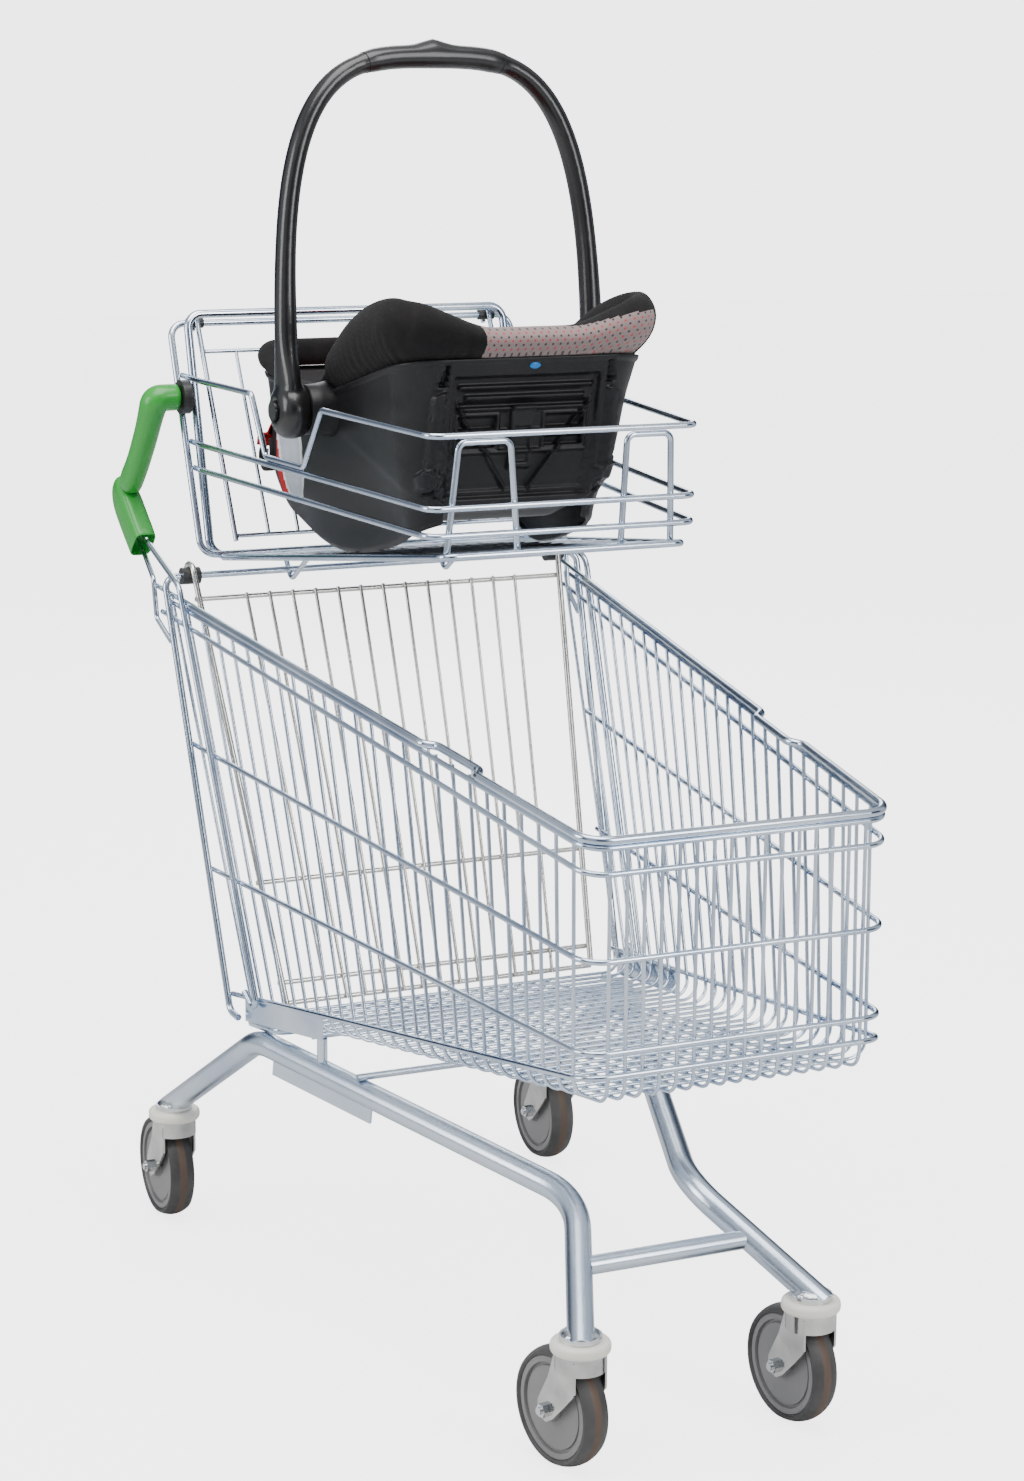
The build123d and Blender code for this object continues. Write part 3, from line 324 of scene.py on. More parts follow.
fork_zinc = with_group("fork plating", plating, FINISH, {
    "Bright": (0.66, 0.65, 0.61, 1), "Cloud": (0.46, 0.46, 0.44, 1), "Gloss": 0.14, "Cloud scale": 26.0},
    Metallic=1.0)
bolt_zinc = with_group("bolt plating", plating, FINISH, {
    "Bright": (0.78, 0.79, 0.80, 1), "Cloud": (0.6, 0.61, 0.62, 1), "Gloss": 0.22, "Cloud scale": 60.0},
    Metallic=1.0)
guard_cream = with_group("cream guard", moulding, FINISH, {
    "Color": (0.90, 0.84, 0.74, 1), "Grain": 0.06, "Gloss": 0.34, "Dust": 0.1}, Subsurface_Weight=0.1)
disc_grey = with_group("wheel plastic", moulding, FINISH, {
    "Color": (0.205, 0.20, 0.197, 1), "Grain": 0.12, "Gloss": 0.36, "Dust": 0.08})
paint(bolt_zinc, "castor_flanges", "castor_kingpins")
paint(guard_cream, "thread_guards")


def tyre_material(corner):
    """Dark rubber with a brown wear band round the middle of the tread."""
    spin = joints[f"wheel_{corner}_spin"]
    material, tree, shader = new_material(f"tyre rubber {corner}", Roughness=0.6)
    node = tree.nodes.new("ShaderNodeGroup")
    node.node_tree = moulding
    rubber = {"Color": (0.040, 0.038, 0.037, 1), "Grain": 0.3, "Gloss": 0.45, "Dust": 0.10}
    for label, value in rubber.items():
        node.inputs[label].default_value = value
    where = tree.nodes.new("ShaderNodeTexCoord").outputs["Object"]
    across = tree.nodes.new("ShaderNodeVectorMath")
    across.operation = "DOT_PRODUCT"
    tree.links.new(where, across.inputs[0])
    across.inputs[1].default_value = spin["axis"]
    wheel_middle = Vector(spin["pos_m"]).dot(Vector(spin["axis"]))
    distance = maths(tree, "ABSOLUTE", maths(tree, "SUBTRACT", across.outputs["Value"], wheel_middle))
    band = ranged(tree, distance, 1.0, 0.0, 0.0035, 0.0055)
    worn_brown = (0.095, 0.06, 0.04, 1)
    tree.links.new(blended(tree, band, node.outputs["Color"], worn_brown), shader.inputs["Base Color"])
    tree.links.new(node.outputs["Roughness"], shader.inputs["Roughness"])
    tree.links.new(node.outputs["Normal"], shader.inputs["Normal"])
    return material


for corner in ("fr", "fl", "rr", "rl"):
    paint(fork_zinc, "fork_" + corner)
    paint(bolt_zinc, "axle_" + corner)
    paint(disc_grey, "wheel_disc_" + corner)
    paint(tyre_material(corner), "tyre_" + corner)
    swivel = Vector(joints[f"castor_{corner}_swivel"]["pos_m"])
    bead_profile = [(-0.0006, 0.0205), (0.0012, 0.0198), (0.0034, 0.0172), (0.0048, 0.0146), (0.005, 0.0139)]
    bead = turned("weld_bead_" + corner, swivel, (0, 0, 1), bead_profile, bolt_zinc, around=72, wobble=0.0009)
    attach(bead, "cart")

# ---- Hinge bushes and clamps
# Black nylon bushes sit on the rods that the gate and the flap hang from, and a black clamp holds each
# push grip to the tower.

nylon = with_group("black nylon", moulding, FINISH, {
    "Color": (0.018, 0.017, 0.017, 1), "Grain": 0.15, "Gloss": 0.3, "Dust": 0.05})
paint(nylon, "gate_bushes", "flap_bushes", "grip_flanges")

# ---- Push grips
# Each grip is moulded in satin green plastic round the tower's bracket: a bar out to the side, an arm
# down and back, and a thick heel with a socket that the basket's rods come out of.

green = with_group("grip plastic", moulding, FINISH, {
    "Color": (0.025, 0.34, 0.035, 1), "Grain": 0.1, "Gloss": 0.26, "Dust": 0.0},
    Coat_Weight=0.25, Coat_Roughness=0.2)
SIDES = (("right", -1), ("left", 1))
# The route is measured from a point 430 mm ahead of the gate's hinge.
route_start = joints["rear_gate_hinge"]["pos_m"][0] + 0.430


def signed_power(x, power):
    """x to a power, keeping x's sign."""
    return math.copysign(abs(x) ** power, x)


def oval(centre, forward, side, half_side, half_deep, count=40, square=2.0):
    """A ring round centre, across forward; square above 2 flattens its sides."""
    forward = Vector(forward).normalized()
    side = (Vector(side) - forward * forward.dot(Vector(side))).normalized()
    deep = forward.cross(side)
    ring = []
    for j in range(count):
        a = 2 * math.pi * j / count
        c, s = math.cos(a), math.sin(a)
        x = half_side * signed_power(c, 2 / square)
        y = half_deep * signed_power(s, 2 / square)
        ring.append(Vector(centre) + side * x + deep * y)
    return ring


def push_grip(label, side):
    """Grip on one side; side is -1 on the right and 1 on the left."""
    arm = [  # x, y, z in millimetres, half width, half depth, squareness
        (-478, 229.5, 1003, 15.5, 15.5, 2), (-478, 236, 1003, 15.7, 15.7, 2),
        (-478, 244, 1003, 15.8, 15.8, 2), (-478, 250.5, 1003, 15.9, 16, 2),
        (-478.4, 255.5, 1002, 16.6, 17, 2), (-479.8, 258.6, 999, 17.2, 17.4, 2),
        (-482, 260, 994.5, 16.6, 16.6, 2), (-485, 260.8, 988, 15.6, 15.8, 2.1),
        (-490, 261.4, 979, 14.9, 15.2, 2.1), (-498, 262, 965, 14.4, 14.6, 2.2),
        (-508, 263, 949, 14, 14.2, 2.3), (-518, 264, 934, 13.8, 14, 2.3),
        (-527, 265, 921, 13.6, 14.6, 2.3), (-536, 266.4, 909, 13.4, 15.6, 2.4),
        (-545, 267.6, 898, 13, 16, 2.5), (-552, 268, 889, 12, 14, 2.5),
    ]
    heel = [
        (-561, 268, 913, 6, 8, 2.2), (-559.5, 268, 911.5, 9.6, 14, 2.4), (-554, 268, 906, 12.6, 18.6, 2.7),
        (-545, 268, 896, 13.8, 21, 3), (-537, 267.4, 888, 14.2, 21.8, 3.4), (-528, 266.4, 878, 14, 21.6, 3.8),
        (-517, 265.4, 866, 13.8, 21.4, 4), (-505, 264, 853.5, 13.6, 21.2, 4.2),
        (-496, 263.4, 844.2, 13.5, 21, 4.4), (-494.6, 263.4, 842.8, 12.6, 20.2, 4.4),
        (-496, 263.4, 844.2, 11.2, 18.8, 4.4), (-512, 264.4, 861, 10.6, 18, 4),
    ]
    heel_set_back = Vector((0.0215, 0, 0.0185))
    heel_along, arm_flat = (0.707, 0, -0.707), (0.86, 0, -0.5)
    for name, run in (("arm", arm), ("heel", heel)):
        places = [Vector((x / 1000 + route_start, side * y / 1000, z / 1000)) for x, y, z, *_ in run]
        rings = []
        for i, (p, (*_, half_wide, half_deep, square)) in enumerate(zip(places, run)):
            a, b = half_wide / 1000, half_deep / 1000
            if name == "heel":
                rings.append(oval(p - heel_set_back, heel_along, (0, 1, 0), a, b, 40, square))
            else:
                forward = places[min(i + 1, len(run) - 1)] - places[max(i - 1, 0)]
                rings.append(oval(p, forward, arm_flat, b, a, 40, square))
        piece = skin(f"grip_{name}_{label}", rings, green)
        smooth = piece.modifiers.new("round", "SUBSURF")
        smooth.levels = smooth.render_levels = 1
        if name == "arm":
            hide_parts("push_grip_" + label)
        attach(piece, "cart")


for label, side in SIDES:
    push_grip(label, side)

# ---- Carrier shell
# The infant carrier's shell is blow-moulded from black plastic with a fine grain. Its head end carries a
# recessed panel with ribs and slots, two latch pillars and the belt hooks, and its sides run down to two
# curved runners that it rocks and stands on.

black_shell = with_group("grained black plastic", moulding, FINISH, {
    "Color": (0.008, 0.008, 0.0085, 1), "Grain scale": 750.0, "Grain": 0.25, "Gloss": 0.3, "Dust": 0.012},
    Specular_IOR_Level=0.32)
pivot = Vector(joints["carry_handle_pivot"]["pos_m"])
pivot_above_runners = 0.1637
seat_origin = pivot - Vector((0, 0, pivot_above_runners))
seat_tilt = math.radians(7.5)
shell_levels = (  # height, foot end, head end, half width
    (0, -150, 196, 104), (44, -158, 200, 112), (100, -176, 220, 128), (160, -184, 238, 138),
    (205, -188, 256, 146), (272, -192, 272, 156))
# Along the carrier, and the height of the shell's edge there
shell_rim = ((-215, 222), (-170, 214), (-80, 192), (18, 182), (110, 190), (200, 200), (300, 206))
corner = 48


def in_seat(u, v, w):
    """A point of the carrier, in millimetres along it, across it and up from its runners."""
    c, s = math.cos(seat_tilt), math.sin(seat_tilt)
    return seat_origin + Vector((u * c - w * s, v, u * s + w * c)) / 1000


def smooth_table(table, x, column=1):
    """A smooth curve through a table's points."""
    last = len(table) - 1
    if x <= table[0][0]:
        return table[0][column]
    if x >= table[last][0]:
        return table[last][column]
    i = max(k for k in range(last) if table[k][0] <= x)
    x0, x1 = table[i][0], table[i + 1][0]
    y0, y1 = table[i][column], table[i + 1][column]
    before, after = table[max(i - 1, 0)], table[min(i + 2, last)]
    m0 = (y1 - before[column]) / max(x1 - before[0], 1e-6)
    m1 = (after[column] - y0) / max(after[0] - x0, 1e-6)
    t = (x - x0) / (x1 - x0)
    h = x1 - x0
    return ((2 * t ** 3 - 3 * t * t + 1) * y0 + (t ** 3 - 2 * t * t + t) * h * m0
            + (3 * t * t - 2 * t ** 3) * y1 + (t ** 3 - t * t) * h * m1)


def eased(x, start, end):
    """0 before start and 1 after end, with a soft step between."""
    t = min(max((x - start) / (end - start), 0), 1)
    return t * t * (3 - 2 * t)


def within(x, low, high, soft):
    """1 between low and high, fading to 0 over soft outside them."""
    return eased(x, low - soft, low) * (1 - eased(x, high, high + soft))


def outline_columns(face, arc, flank):
    """Stations round the carrier: each is a run (head, flank or corner), how far along, and its normal."""
    stations = []
    for k in range(face):
        stations.append(("head", -1 + 2 * k / face, (1, 0)))
    for k in range(arc):
        a = math.pi / 2 * k / arc
        stations.append(("corner", (1, 1), (math.cos(a), math.sin(a))))
    for k in range(flank):
        stations.append(("flank", 1 - k / flank, (0, 1)))
    for k in range(arc):
        a = math.pi / 2 * (1 + k / arc)
        stations.append(("corner", (-1, 1), (math.cos(a), math.sin(a))))
    for k in range(face // 3):
        stations.append(("foot", 1 - 2 * k / (face // 3), (-1, 0)))
    for k in range(arc):
        a = math.pi / 2 * (2 + k / arc)
        stations.append(("corner", (-1, -1), (math.cos(a), math.sin(a))))
    for k in range(flank):
        stations.append(("flank", k / flank, (0, -1)))
    for k in range(arc):
        a = math.pi / 2 * (3 + k / arc)
        stations.append(("corner", (1, -1), (math.cos(a), math.sin(a))))
    return stations


def on_outline(station, w, out=0.0):
    """The place (along, across) of a station at height w, moved outwards by out."""
    kind, along, normal = station
    foot, head, half = (smooth_table(shell_levels, w, column) for column in (1, 2, 3))
    if kind == "head":
        u, v = head, along * (half - corner)
    elif kind == "foot":
        u, v = foot, along * (half - corner)
    elif kind == "flank":
        u, v = foot + corner + along * (head - foot - 2 * corner), math.copysign(half, normal[1])
    else:
        u = (head - corner if along[0] > 0 else foot + corner) + corner * normal[0]
        v = along[1] * (half - corner) + corner * normal[1]
    v *= 1 + 0.2 * (1 - eased(u, -70, 130)) * (1 - eased(w, 60, 215))
    return u + normal[0] * out, v + normal[1] * out


def rim_height(station):
    """Height of the shell's edge at a station."""
    w = 200
    for _ in range(3):
        w = smooth_table(shell_rim, on_outline(station, w)[0])
    return w


def runner_height(u):
    """Underside of a runner, lowest a little ahead of the middle."""
    return 58 * ((20 - u) / 150) ** 2.1 if u < 20 else 30 * ((u - 20) / 176) ** 2


def head_relief(v, w):
    """How far the head end's moulding stands out, in millimetres."""
    a = abs(v)
    height = -8 * within(a, -1, 85, 3) * within(w, 58, 184, 2.5)
    height -= 3.5 * within(a, -1, 79, 2) * within(w, 66, 157, 2)
    for rib in (174, 163):
        height += 7 * math.exp(-((w - rib) / 2.2) ** 2) * within(a, -1, 78 - 0.8 * (174 - rib), 3)
    for rib in (151, 126, 105):
        height += 7 * math.exp(-((w - rib) / 2.0) ** 2) * within(a, -1, 78, 2)
    for low, high in ((131, 143), (111, 120)):
        height -= 6 * within(a, 30, 74, 1.5) * within(w, low, high, 1.2)
        height += 3 * (within(a, 26, 78, 1.5) * within(w, low - 3, high + 3, 1.2)
                       - within(a, 30, 74, 1.5) * within(w, low, high, 1.2))
    height += 8 * within(a, -1, 13, 2) * within(w, 88, 152, 2)
    height -= 4 * within(a, -1, 8, 1.5) * within(w, 94, 130, 1.5)
    reach = (a - 14) / 66
    if 0 <= reach <= 1:
        height += 7 * math.exp(-((w - (66 + 92 * reach)) / 3.0) ** 2)
    height += 9 * within(a, 97.5, 107.5, 2.2) * within(w, 88, 168 - 0.4 * (a - 98), 4)
    height -= 10 * within(a, 95, 104 - 0.35 * (w - 176), 1.5) * within(w, 177, 197, 2)
    hook = math.hypot((a - 104) / 1.15, w - 76)
    height += 9 * (1 - eased(hook, 10, 14)) - 7 * (1 - eased(math.hypot(a - 103, (w - 66) * 1.4), 5, 8))
    return height


stations = outline_columns(150, 24, 56)
rims = [rim_height(station) for station in stations]
rows = 104
shell_rings = []
for i in range(rows + 1):
    share = i / rows
    ring = []
    for station, rim in zip(stations, rims):
        normal = station[2]
        u, v = on_outline(station, 46)
        low = 44 + (runner_height(u) - 44) * eased(abs(v), 84, 90)
        low = max(low, runner_height(u))
        w = low + (rim - low) * share
        u, v = on_outline(station, w)
        out = 0.0
        if normal[0] > 0.5:
            out = head_relief(v, w) * eased(normal[0], 0.5, 0.75)
        if abs(normal[1]) > 0.6:
            fold = (w - 150) + 0.55 * (u - 20)
            pressed = 2.5 * eased(fold, -6, 6) * within(u, -120, 190, 30) * (1 - share)
            out += pressed + 1.2 * within(w, 20, 60, 30)
        out -= 3 * (1 - eased(share, 0, 0.03))
        out += 2.2 * within(share, 0.975, 1.0, 0.012)
        u, v = on_outline(station, w, out)
        ring.append(in_seat(u, v, w))
    shell_rings.append(ring)
shell = skin("carrier_shell", shell_rings, black_shell, ends=False)
wall = shell.modifiers.new("wall", "SOLIDIFY")
wall.thickness = 0.004
wall.offset = -1
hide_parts("seat_shell")
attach(shell, "infant_carrier")

long_steps, cross_steps = 40, 30
belly_rings = []
for i in range(long_steps + 1):
    u = -158 + 356 * i / long_steps
    ring = []
    for j in range(cross_steps + 1):
        v = -100 + 200 * j / cross_steps
        sag = 12 * (1 - eased(abs(v), 60, 100)) * within(u, -110, 150, 50)
        low = max(47 + 10 * eased(abs(v), 84, 98) - sag, runner_height(u) + 4)
        ring.append(in_seat(u, v, low + 3 * math.cos(u / 9) * within(abs(v), 0, 70, 8)))
    belly_rings.append(ring)
points = [p for ring in belly_rings for p in ring]
wide = cross_steps + 1
starts = [i * wide + j for i in range(long_steps) for j in range(cross_steps)]
faces = [(k, k + 1, k + wide + 1, k + wide) for k in starts]
belly = link_mesh("carrier_underside", points, faces, black_shell)
wall = belly.modifiers.new("wall", "SOLIDIFY")
wall.thickness = 0.004
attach(belly, "infant_carrier")

boss_foot = 0.125
boss_profile = [(0, 0.033), (0.012, 0.033), (0.024, 0.030), (0.031, 0.0285), (0.044, 0.028), (0.0462, 0.0265),
                (0.0464, 0.012)]
for label, side in SIDES:
    boss = turned("pivot_boss_" + label, (pivot.x, side * boss_foot, pivot.z), (0, side, 0), boss_profile,
                  black_shell, 64)
    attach(boss, "infant_carrier")

marker_blue = with_group("blue marker", moulding, FINISH, {
    "Color": (0.0, 0.20, 0.62, 1), "Grain": 0.04, "Gloss": 0.3, "Dust": 0.0})
points = []
for lift in (0.6, 1.1):
    for j in range(36):
        a = 2 * math.pi * j / 36
        v, w = 5 + (7 - lift) * math.cos(a), 195 + (3.8 - lift * 0.6) * math.sin(a)
        points.append(in_seat(smooth_table(shell_levels, w, 2) + lift, v, w))
faces = [(j, (j + 1) % 36, 36 + (j + 1) % 36, 36 + j) for j in range(36)] + [tuple(range(36, 72))]
marker = link_mesh("marker", points, faces, marker_blue)
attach(marker, "infant_carrier")

# ---- Padded cover
# The cover is sewn from black woven fabric and a taupe spacer mesh with small holes, padded with wadding,
# and pulled over the shell's edge with elastic that gathers it along the bottom.

weave, inside, outside = new_group(
    "woven fabric",
    [("Color", "NodeSocketColor", (0.02, 0.02, 0.02, 1)), ("Lint", "NodeSocketColor", (0.06, 0.055, 0.05, 1)),
     ("Threads", "NodeSocketFloat", 1500.0), ("Depth", "NodeSocketFloat", 0.35)],
    [("Color", "NodeSocketColor"), ("Roughness", "NodeSocketFloat"), ("Normal", "NodeSocketVector")])
place = weave.nodes.new("ShaderNodeTexCoord").outputs["UV"]
ripples = []
for direction in ("X", "Y"):
    wave = weave.nodes.new("ShaderNodeTexWave")
    wave.bands_direction = direction
    wave.inputs["Distortion"].default_value = 1.2
    wave.inputs["Detail"].default_value = 1.0
    weave.links.new(place, wave.inputs["Vector"])
    weave.links.new(inside.outputs["Threads"], wave.inputs["Scale"])
    ripples.append(wave.outputs["Fac"])
cross = maths(weave, "MULTIPLY", ripples[0], ripples[1])
fuzz = noise_at(weave, weave.nodes.new("ShaderNodeTexCoord").outputs["Object"], 60, 6, 0.6)
linty = ranged(weave, fuzz, 0.0, 1.0, 0.45, 0.8)
tone = blended(weave, linty, inside.outputs["Color"], inside.outputs["Lint"])
weave.links.new(tone, outside.inputs["Color"])
weave.links.new(ranged(weave, fuzz, 0.8, 0.95), outside.inputs["Roughness"])
weave.links.new(bumped(weave, cross, inside.outputs["Depth"], 0.0006), outside.inputs["Normal"])

# Spacer mesh: the holes are painted darker than the yarn round them, a painted shade inside each hole. The
# second, offset set of holes is red on the taupe mesh, and a darker red, again painted shade, on the red
# liner.
dots, inside, outside = new_group(
    "spacer mesh",
    [("Color", "NodeSocketColor", (0.22, 0.16, 0.15, 1)), ("Yarn", "NodeSocketColor", (0.36, 0.28, 0.265, 1)),
     ("Shaded hole", "NodeSocketColor", (0.04, 0.028, 0.028, 1)),
     ("Second hole colour and shade", "NodeSocketColor", (0.45, 0.04, 0.05, 1)), ("Pitch", "NodeSocketFloat", 0.0085),
     ("Hole size", "NodeSocketFloat", 0.15)],
    [("Color", "NodeSocketColor"), ("Roughness", "NodeSocketFloat"), ("Normal", "NodeSocketVector")])
place = dots.nodes.new("ShaderNodeTexCoord").outputs["UV"]
scaled = dots.nodes.new("ShaderNodeVectorMath")
scaled.operation = "SCALE"
dots.links.new(place, scaled.inputs[0])
dots.links.new(maths(dots, "DIVIDE", 1.0, inside.outputs["Pitch"]), scaled.inputs["Scale"])
masks = []
for offset in (0.0, 0.5):
    moved = dots.nodes.new("ShaderNodeVectorMath")
    moved.operation = "ADD"
    moved.inputs[1].default_value = (offset, offset, 0)
    dots.links.new(scaled.outputs[0], moved.inputs[0])
    cell = dots.nodes.new("ShaderNodeVectorMath")
    cell.operation = "FRACTION"
    dots.links.new(moved.outputs[0], cell.inputs[0])
    centred = dots.nodes.new("ShaderNodeVectorMath")
    centred.operation = "DISTANCE"
    dots.links.new(cell.outputs[0], centred.inputs[0])
    centred.inputs[1].default_value = (0.5, 0.5, 0)
    masks.append(maths(dots, "LESS_THAN", centred.outputs["Value"], inside.outputs["Hole size"]))
yarn = noise_at(dots, dots.nodes.new("ShaderNodeTexCoord").outputs["Object"], 900, 3, 0.7)
body_colour = blended(dots, ranged(dots, yarn, 0.0, 0.5), inside.outputs["Color"], inside.outputs["Yarn"])
# Painted shade: the holes take their dark colours over the yarn.
once = blended(dots, masks[0], body_colour, inside.outputs["Shaded hole"])
dots.links.new(blended(dots, masks[1], once, inside.outputs["Second hole colour and shade"]), outside.inputs["Color"])
dots.links.new(ranged(dots, yarn, 0.75, 0.95), outside.inputs["Roughness"])
raised = maths(dots, "SUBTRACT", yarn, maths(dots, "ADD", masks[0], masks[1]))
dots.links.new(bumped(dots, raised, 0.5, 0.0008), outside.inputs["Normal"])

black_cloth = with_group("black cover fabric", weave, FINISH, {
    "Color": (0.007, 0.0065, 0.0065, 1), "Lint": (0.018, 0.0155, 0.0145, 1)}, Sheen_Weight=0.04,
    Specular_IOR_Level=0.2)
# The taupe mesh keeps the group's hole colours: near-black painted shade in its holes, and a second set in
# red.
taupe_mesh = with_group("taupe spacer mesh", dots, FINISH, {}, Sheen_Weight=0.2, Sheen_Roughness=0.5)
cover_top = (  # along the carrier, height of the cover's upper edge
    (-215, 250), (-170, 246), (-138, 228), (-104, 203), (-60, 195), (-8, 195), (30, 220), (80, 246),
    (125, 262), (170, 270), (215, 271), (250, 264), (300, 252))


def lay_uv(piece, across, along):
    """Gives a skin's faces a flat map in metres; across and along hold one number for each point."""
    layer = piece.data.uv_layers.new(name="flat")
    for loop in piece.data.loops:
        layer.data[loop.index].uv = (across[loop.vertex_index], along[loop.vertex_index])


def cover_band():
    """The padded band round the shell's edge, as a closed ring of rounded sections."""
    stations = outline_columns(96, 22, 70)
    sections = 72
    rings, across, along, spots = [], [], [], []
    travelled, last = 0.0, None
    for station in stations:
        normal = station[2]
        rim = rim_height(station)
        u, v = on_outline(station, rim)
        peak = smooth_table(cover_top, u)
        if normal[0] > 0.2:
            middle = 1 - eased(abs(v), 40, 128)
            peak = peak - (peak - 236) * middle * eased(normal[0], 0.2, 0.9)
        height = peak - rim
        place_here = Vector((u, v))
        travelled += 0.0 if last is None else (place_here - last).length
        last = place_here
        puff = 5 + 9 * max(normal[0], 0) ** 2 + 5 * abs(normal[1]) * eased(u, 40, 160)
        near_hub = 1 - eased(math.hypot(u - 6, (rim + peak) / 2 - 164), 34, 56)
        ring = []
        for j in range(sections):
            a = 2 * math.pi * j / sections
            c, s = math.cos(a), math.sin(a)
            deep = 12.5 * signed_power(c, 0.8)
            rise = height / 2 * signed_power(s, 0.85)
            w = rim + 0.6 + height / 2 + rise
            lean = puff * (1 - (rise / (height / 2)) ** 2) if c > 0 else 0.0
            gather = 0.0
            if c > -0.2:
                low = 1 - eased(rise / (height / 2), -0.9, 0.5)
                gather = 1.5 * low * math.sin(travelled * 0.42 + 2.4 * math.sin(travelled * 0.053))
                gather *= 0.35 + 0.65 * within(u, 60, 210, 40) * abs(normal[1])
                drift = Vector((travelled * 0.018, w * 0.02, 3.1))
                gather += 1.6 * noise.noise(drift)
            out = -11 + deep + lean + gather - 9 * near_hub
            pu, pv = on_outline(station, max(min(w, 268), rim), out)
            if c > 0.15 and w < rim + 4:
                w -= 3.2 * c
            ring.append(in_seat(pu, pv, w))
            across.append(travelled / 1000)
            along.append((rise + (0 if c > 0 else 200)) / 1000)
        rings.append(ring)
        spots.append((v, normal))
    band = skin("padded_cover", rings, [black_cloth, taupe_mesh], round_again=True)
    lay_uv(band, across, along)
    for face in band.data.polygons:
        i, j = min(face.vertices) // sections, min(k % sections for k in face.vertices)
        if max(face.vertices) // sections - i > 1:
            i = len(stations) - 1
        v, normal = spots[i]
        outer = j <= 15 or j >= 55
        at_head = v > -61 and normal[0] > (0.25 if v < 0 else 0.72)
        border = 1 - 0.55 * eased(v, 10, 118)
        if outer and at_head and math.sin(2 * math.pi * (j + 0.5) / sections) < border:
            face.material_index = 1
    return band


band = cover_band()
plump = band.modifiers.new("plump", "SUBSURF")
plump.levels = plump.render_levels = 1
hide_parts("seat_cover")
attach(band, "infant_carrier")

# ---- Liner
# Inside the shell lies a removable padded liner: red spacer mesh at the sides, a light grey middle panel
# edged with white piping, a black head support, and flat black harness straps with a plastic buckle.

# The red liner's holes are painted in darker reds, a painted shade inside the holes.
liner_red = with_group("red liner mesh", dots, FINISH, {
    "Color": (0.50, 0.006, 0.008, 1), "Yarn": (0.62, 0.012, 0.014, 1), "Shaded hole": (0.16, 0.004, 0.005, 1),
    "Second hole colour and shade": (0.22, 0.005, 0.006, 1),
    "Pitch": 0.004, "Hole size": 0.16}, Sheen_Weight=0.05, Specular_IOR_Level=0.25)
liner_grey = with_group("grey liner cloth", weave, FINISH, {
    "Color": (0.42, 0.46, 0.51, 1), "Lint": (0.54, 0.58, 0.63, 1), "Threads": 1100.0}, Sheen_Weight=0.2,
    Sheen_Roughness=0.5)
white_piping = with_group("white piping", weave, FINISH, {
    "Color": (0.78, 0.78, 0.77, 1), "Lint": (0.85, 0.85, 0.84, 1)}, Sheen_Weight=0.1)
black_web = with_group("black webbing", weave, FINISH, {
    "Color": (0.016, 0.015, 0.015, 1), "Lint": (0.04, 0.036, 0.034, 1), "Threads": 700.0, "Depth": 0.6})
# Along the carrier, and the height of the liner's middle there
liner_floor = ((-190, 172), (-150, 126), (-90, 82), (-20, 62), (60, 70), (130, 98), (190, 152), (235, 214))


def liner_height(u, v):
    """Upper face of the liner: a seat, a back that rises to the head, and banks up both sides."""
    w = smooth_table(liner_floor, u)
    half = smooth_table(shell_levels, max(w, 40), 3) - 16
    bank = max(abs(v) - 0.52 * half, 0) / (0.48 * half)
    top = smooth_table(shell_rim, u) - 8
    w += (top - w) * min(bank, 1) ** 2.1
    channel = 2.6 * abs(math.cos(math.pi * (u + 10) / 62)) ** 0.6 * within(abs(v), -1, 0.5 * half, 4)
    seam = 3.0 * math.exp(-((abs(v) - 0.53 * half) / 3.5) ** 2)
    return w + channel - seam, half


def on_liner(u, share, lift=0.0):
    """A point of the liner; share runs from -1 on the right to 1 on the left."""
    _, half = liner_height(u, 0)
    w, _ = liner_height(u, share * half)
    limit = smooth_table(shell_levels, w, 3) - 13
    return u, max(min(share * half * (1 + 0.10 * abs(share) ** 3), limit), -limit), w + lift


across, along = 64, 84
points, flat = [], []
liner_thick = 7
for lift in (0, -liner_thick):
    for i in range(along + 1):
        u = -172 + 398 * i / along
        for j in range(across + 1):
            share = -1 + 2 * j / across
            edge = min(eased(min(i, along - i), 0, 2.5), eased(min(j, across - j), 0, 2.5))
            u0, v0, w0 = on_liner(u, share, lift * (0.25 + 0.75 * edge))
            points.append(in_seat(u0, v0, w0))
            flat.append((v0 / 1000, u0 / 1000))
width = across + 1
layer = (along + 1) * width
faces, kinds = [], []
for i in range(along):
    for j in range(across):
        a = i * width + j
        share = abs(-1 + 2 * (j + 0.5) / across)
        kind = 1 if share < 0.46 else (2 if share < 0.50 else 0)
        faces.append((a, a + 1, a + 1 + width, a + width))
        kinds.append(kind)
        faces.append((layer + a, layer + a + width, layer + a + 1 + width, layer + a + 1))
        kinds.append(0)
edge_loop = list(range(width)) + [i * width + across for i in range(1, along + 1)]
edge_loop += [along * width + j for j in range(across - 1, -1, -1)]
edge_loop += [i * width for i in range(along - 1, 0, -1)]
for a, b in zip(edge_loop, edge_loop[1:] + edge_loop[:1]):
    faces.append((b, a, layer + a, layer + b))
    kinds.append(0)
liner = link_mesh("liner", points, faces, [liner_red, liner_grey, white_piping])
liner.data.polygons.foreach_set("material_index", kinds)
lay_uv(liner, [x for x, _ in flat], [y for _, y in flat])
soften = liner.modifiers.new("soften", "SUBSURF")
soften.levels = soften.render_levels = 1
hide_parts("seat_liner")
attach(liner, "infant_carrier")


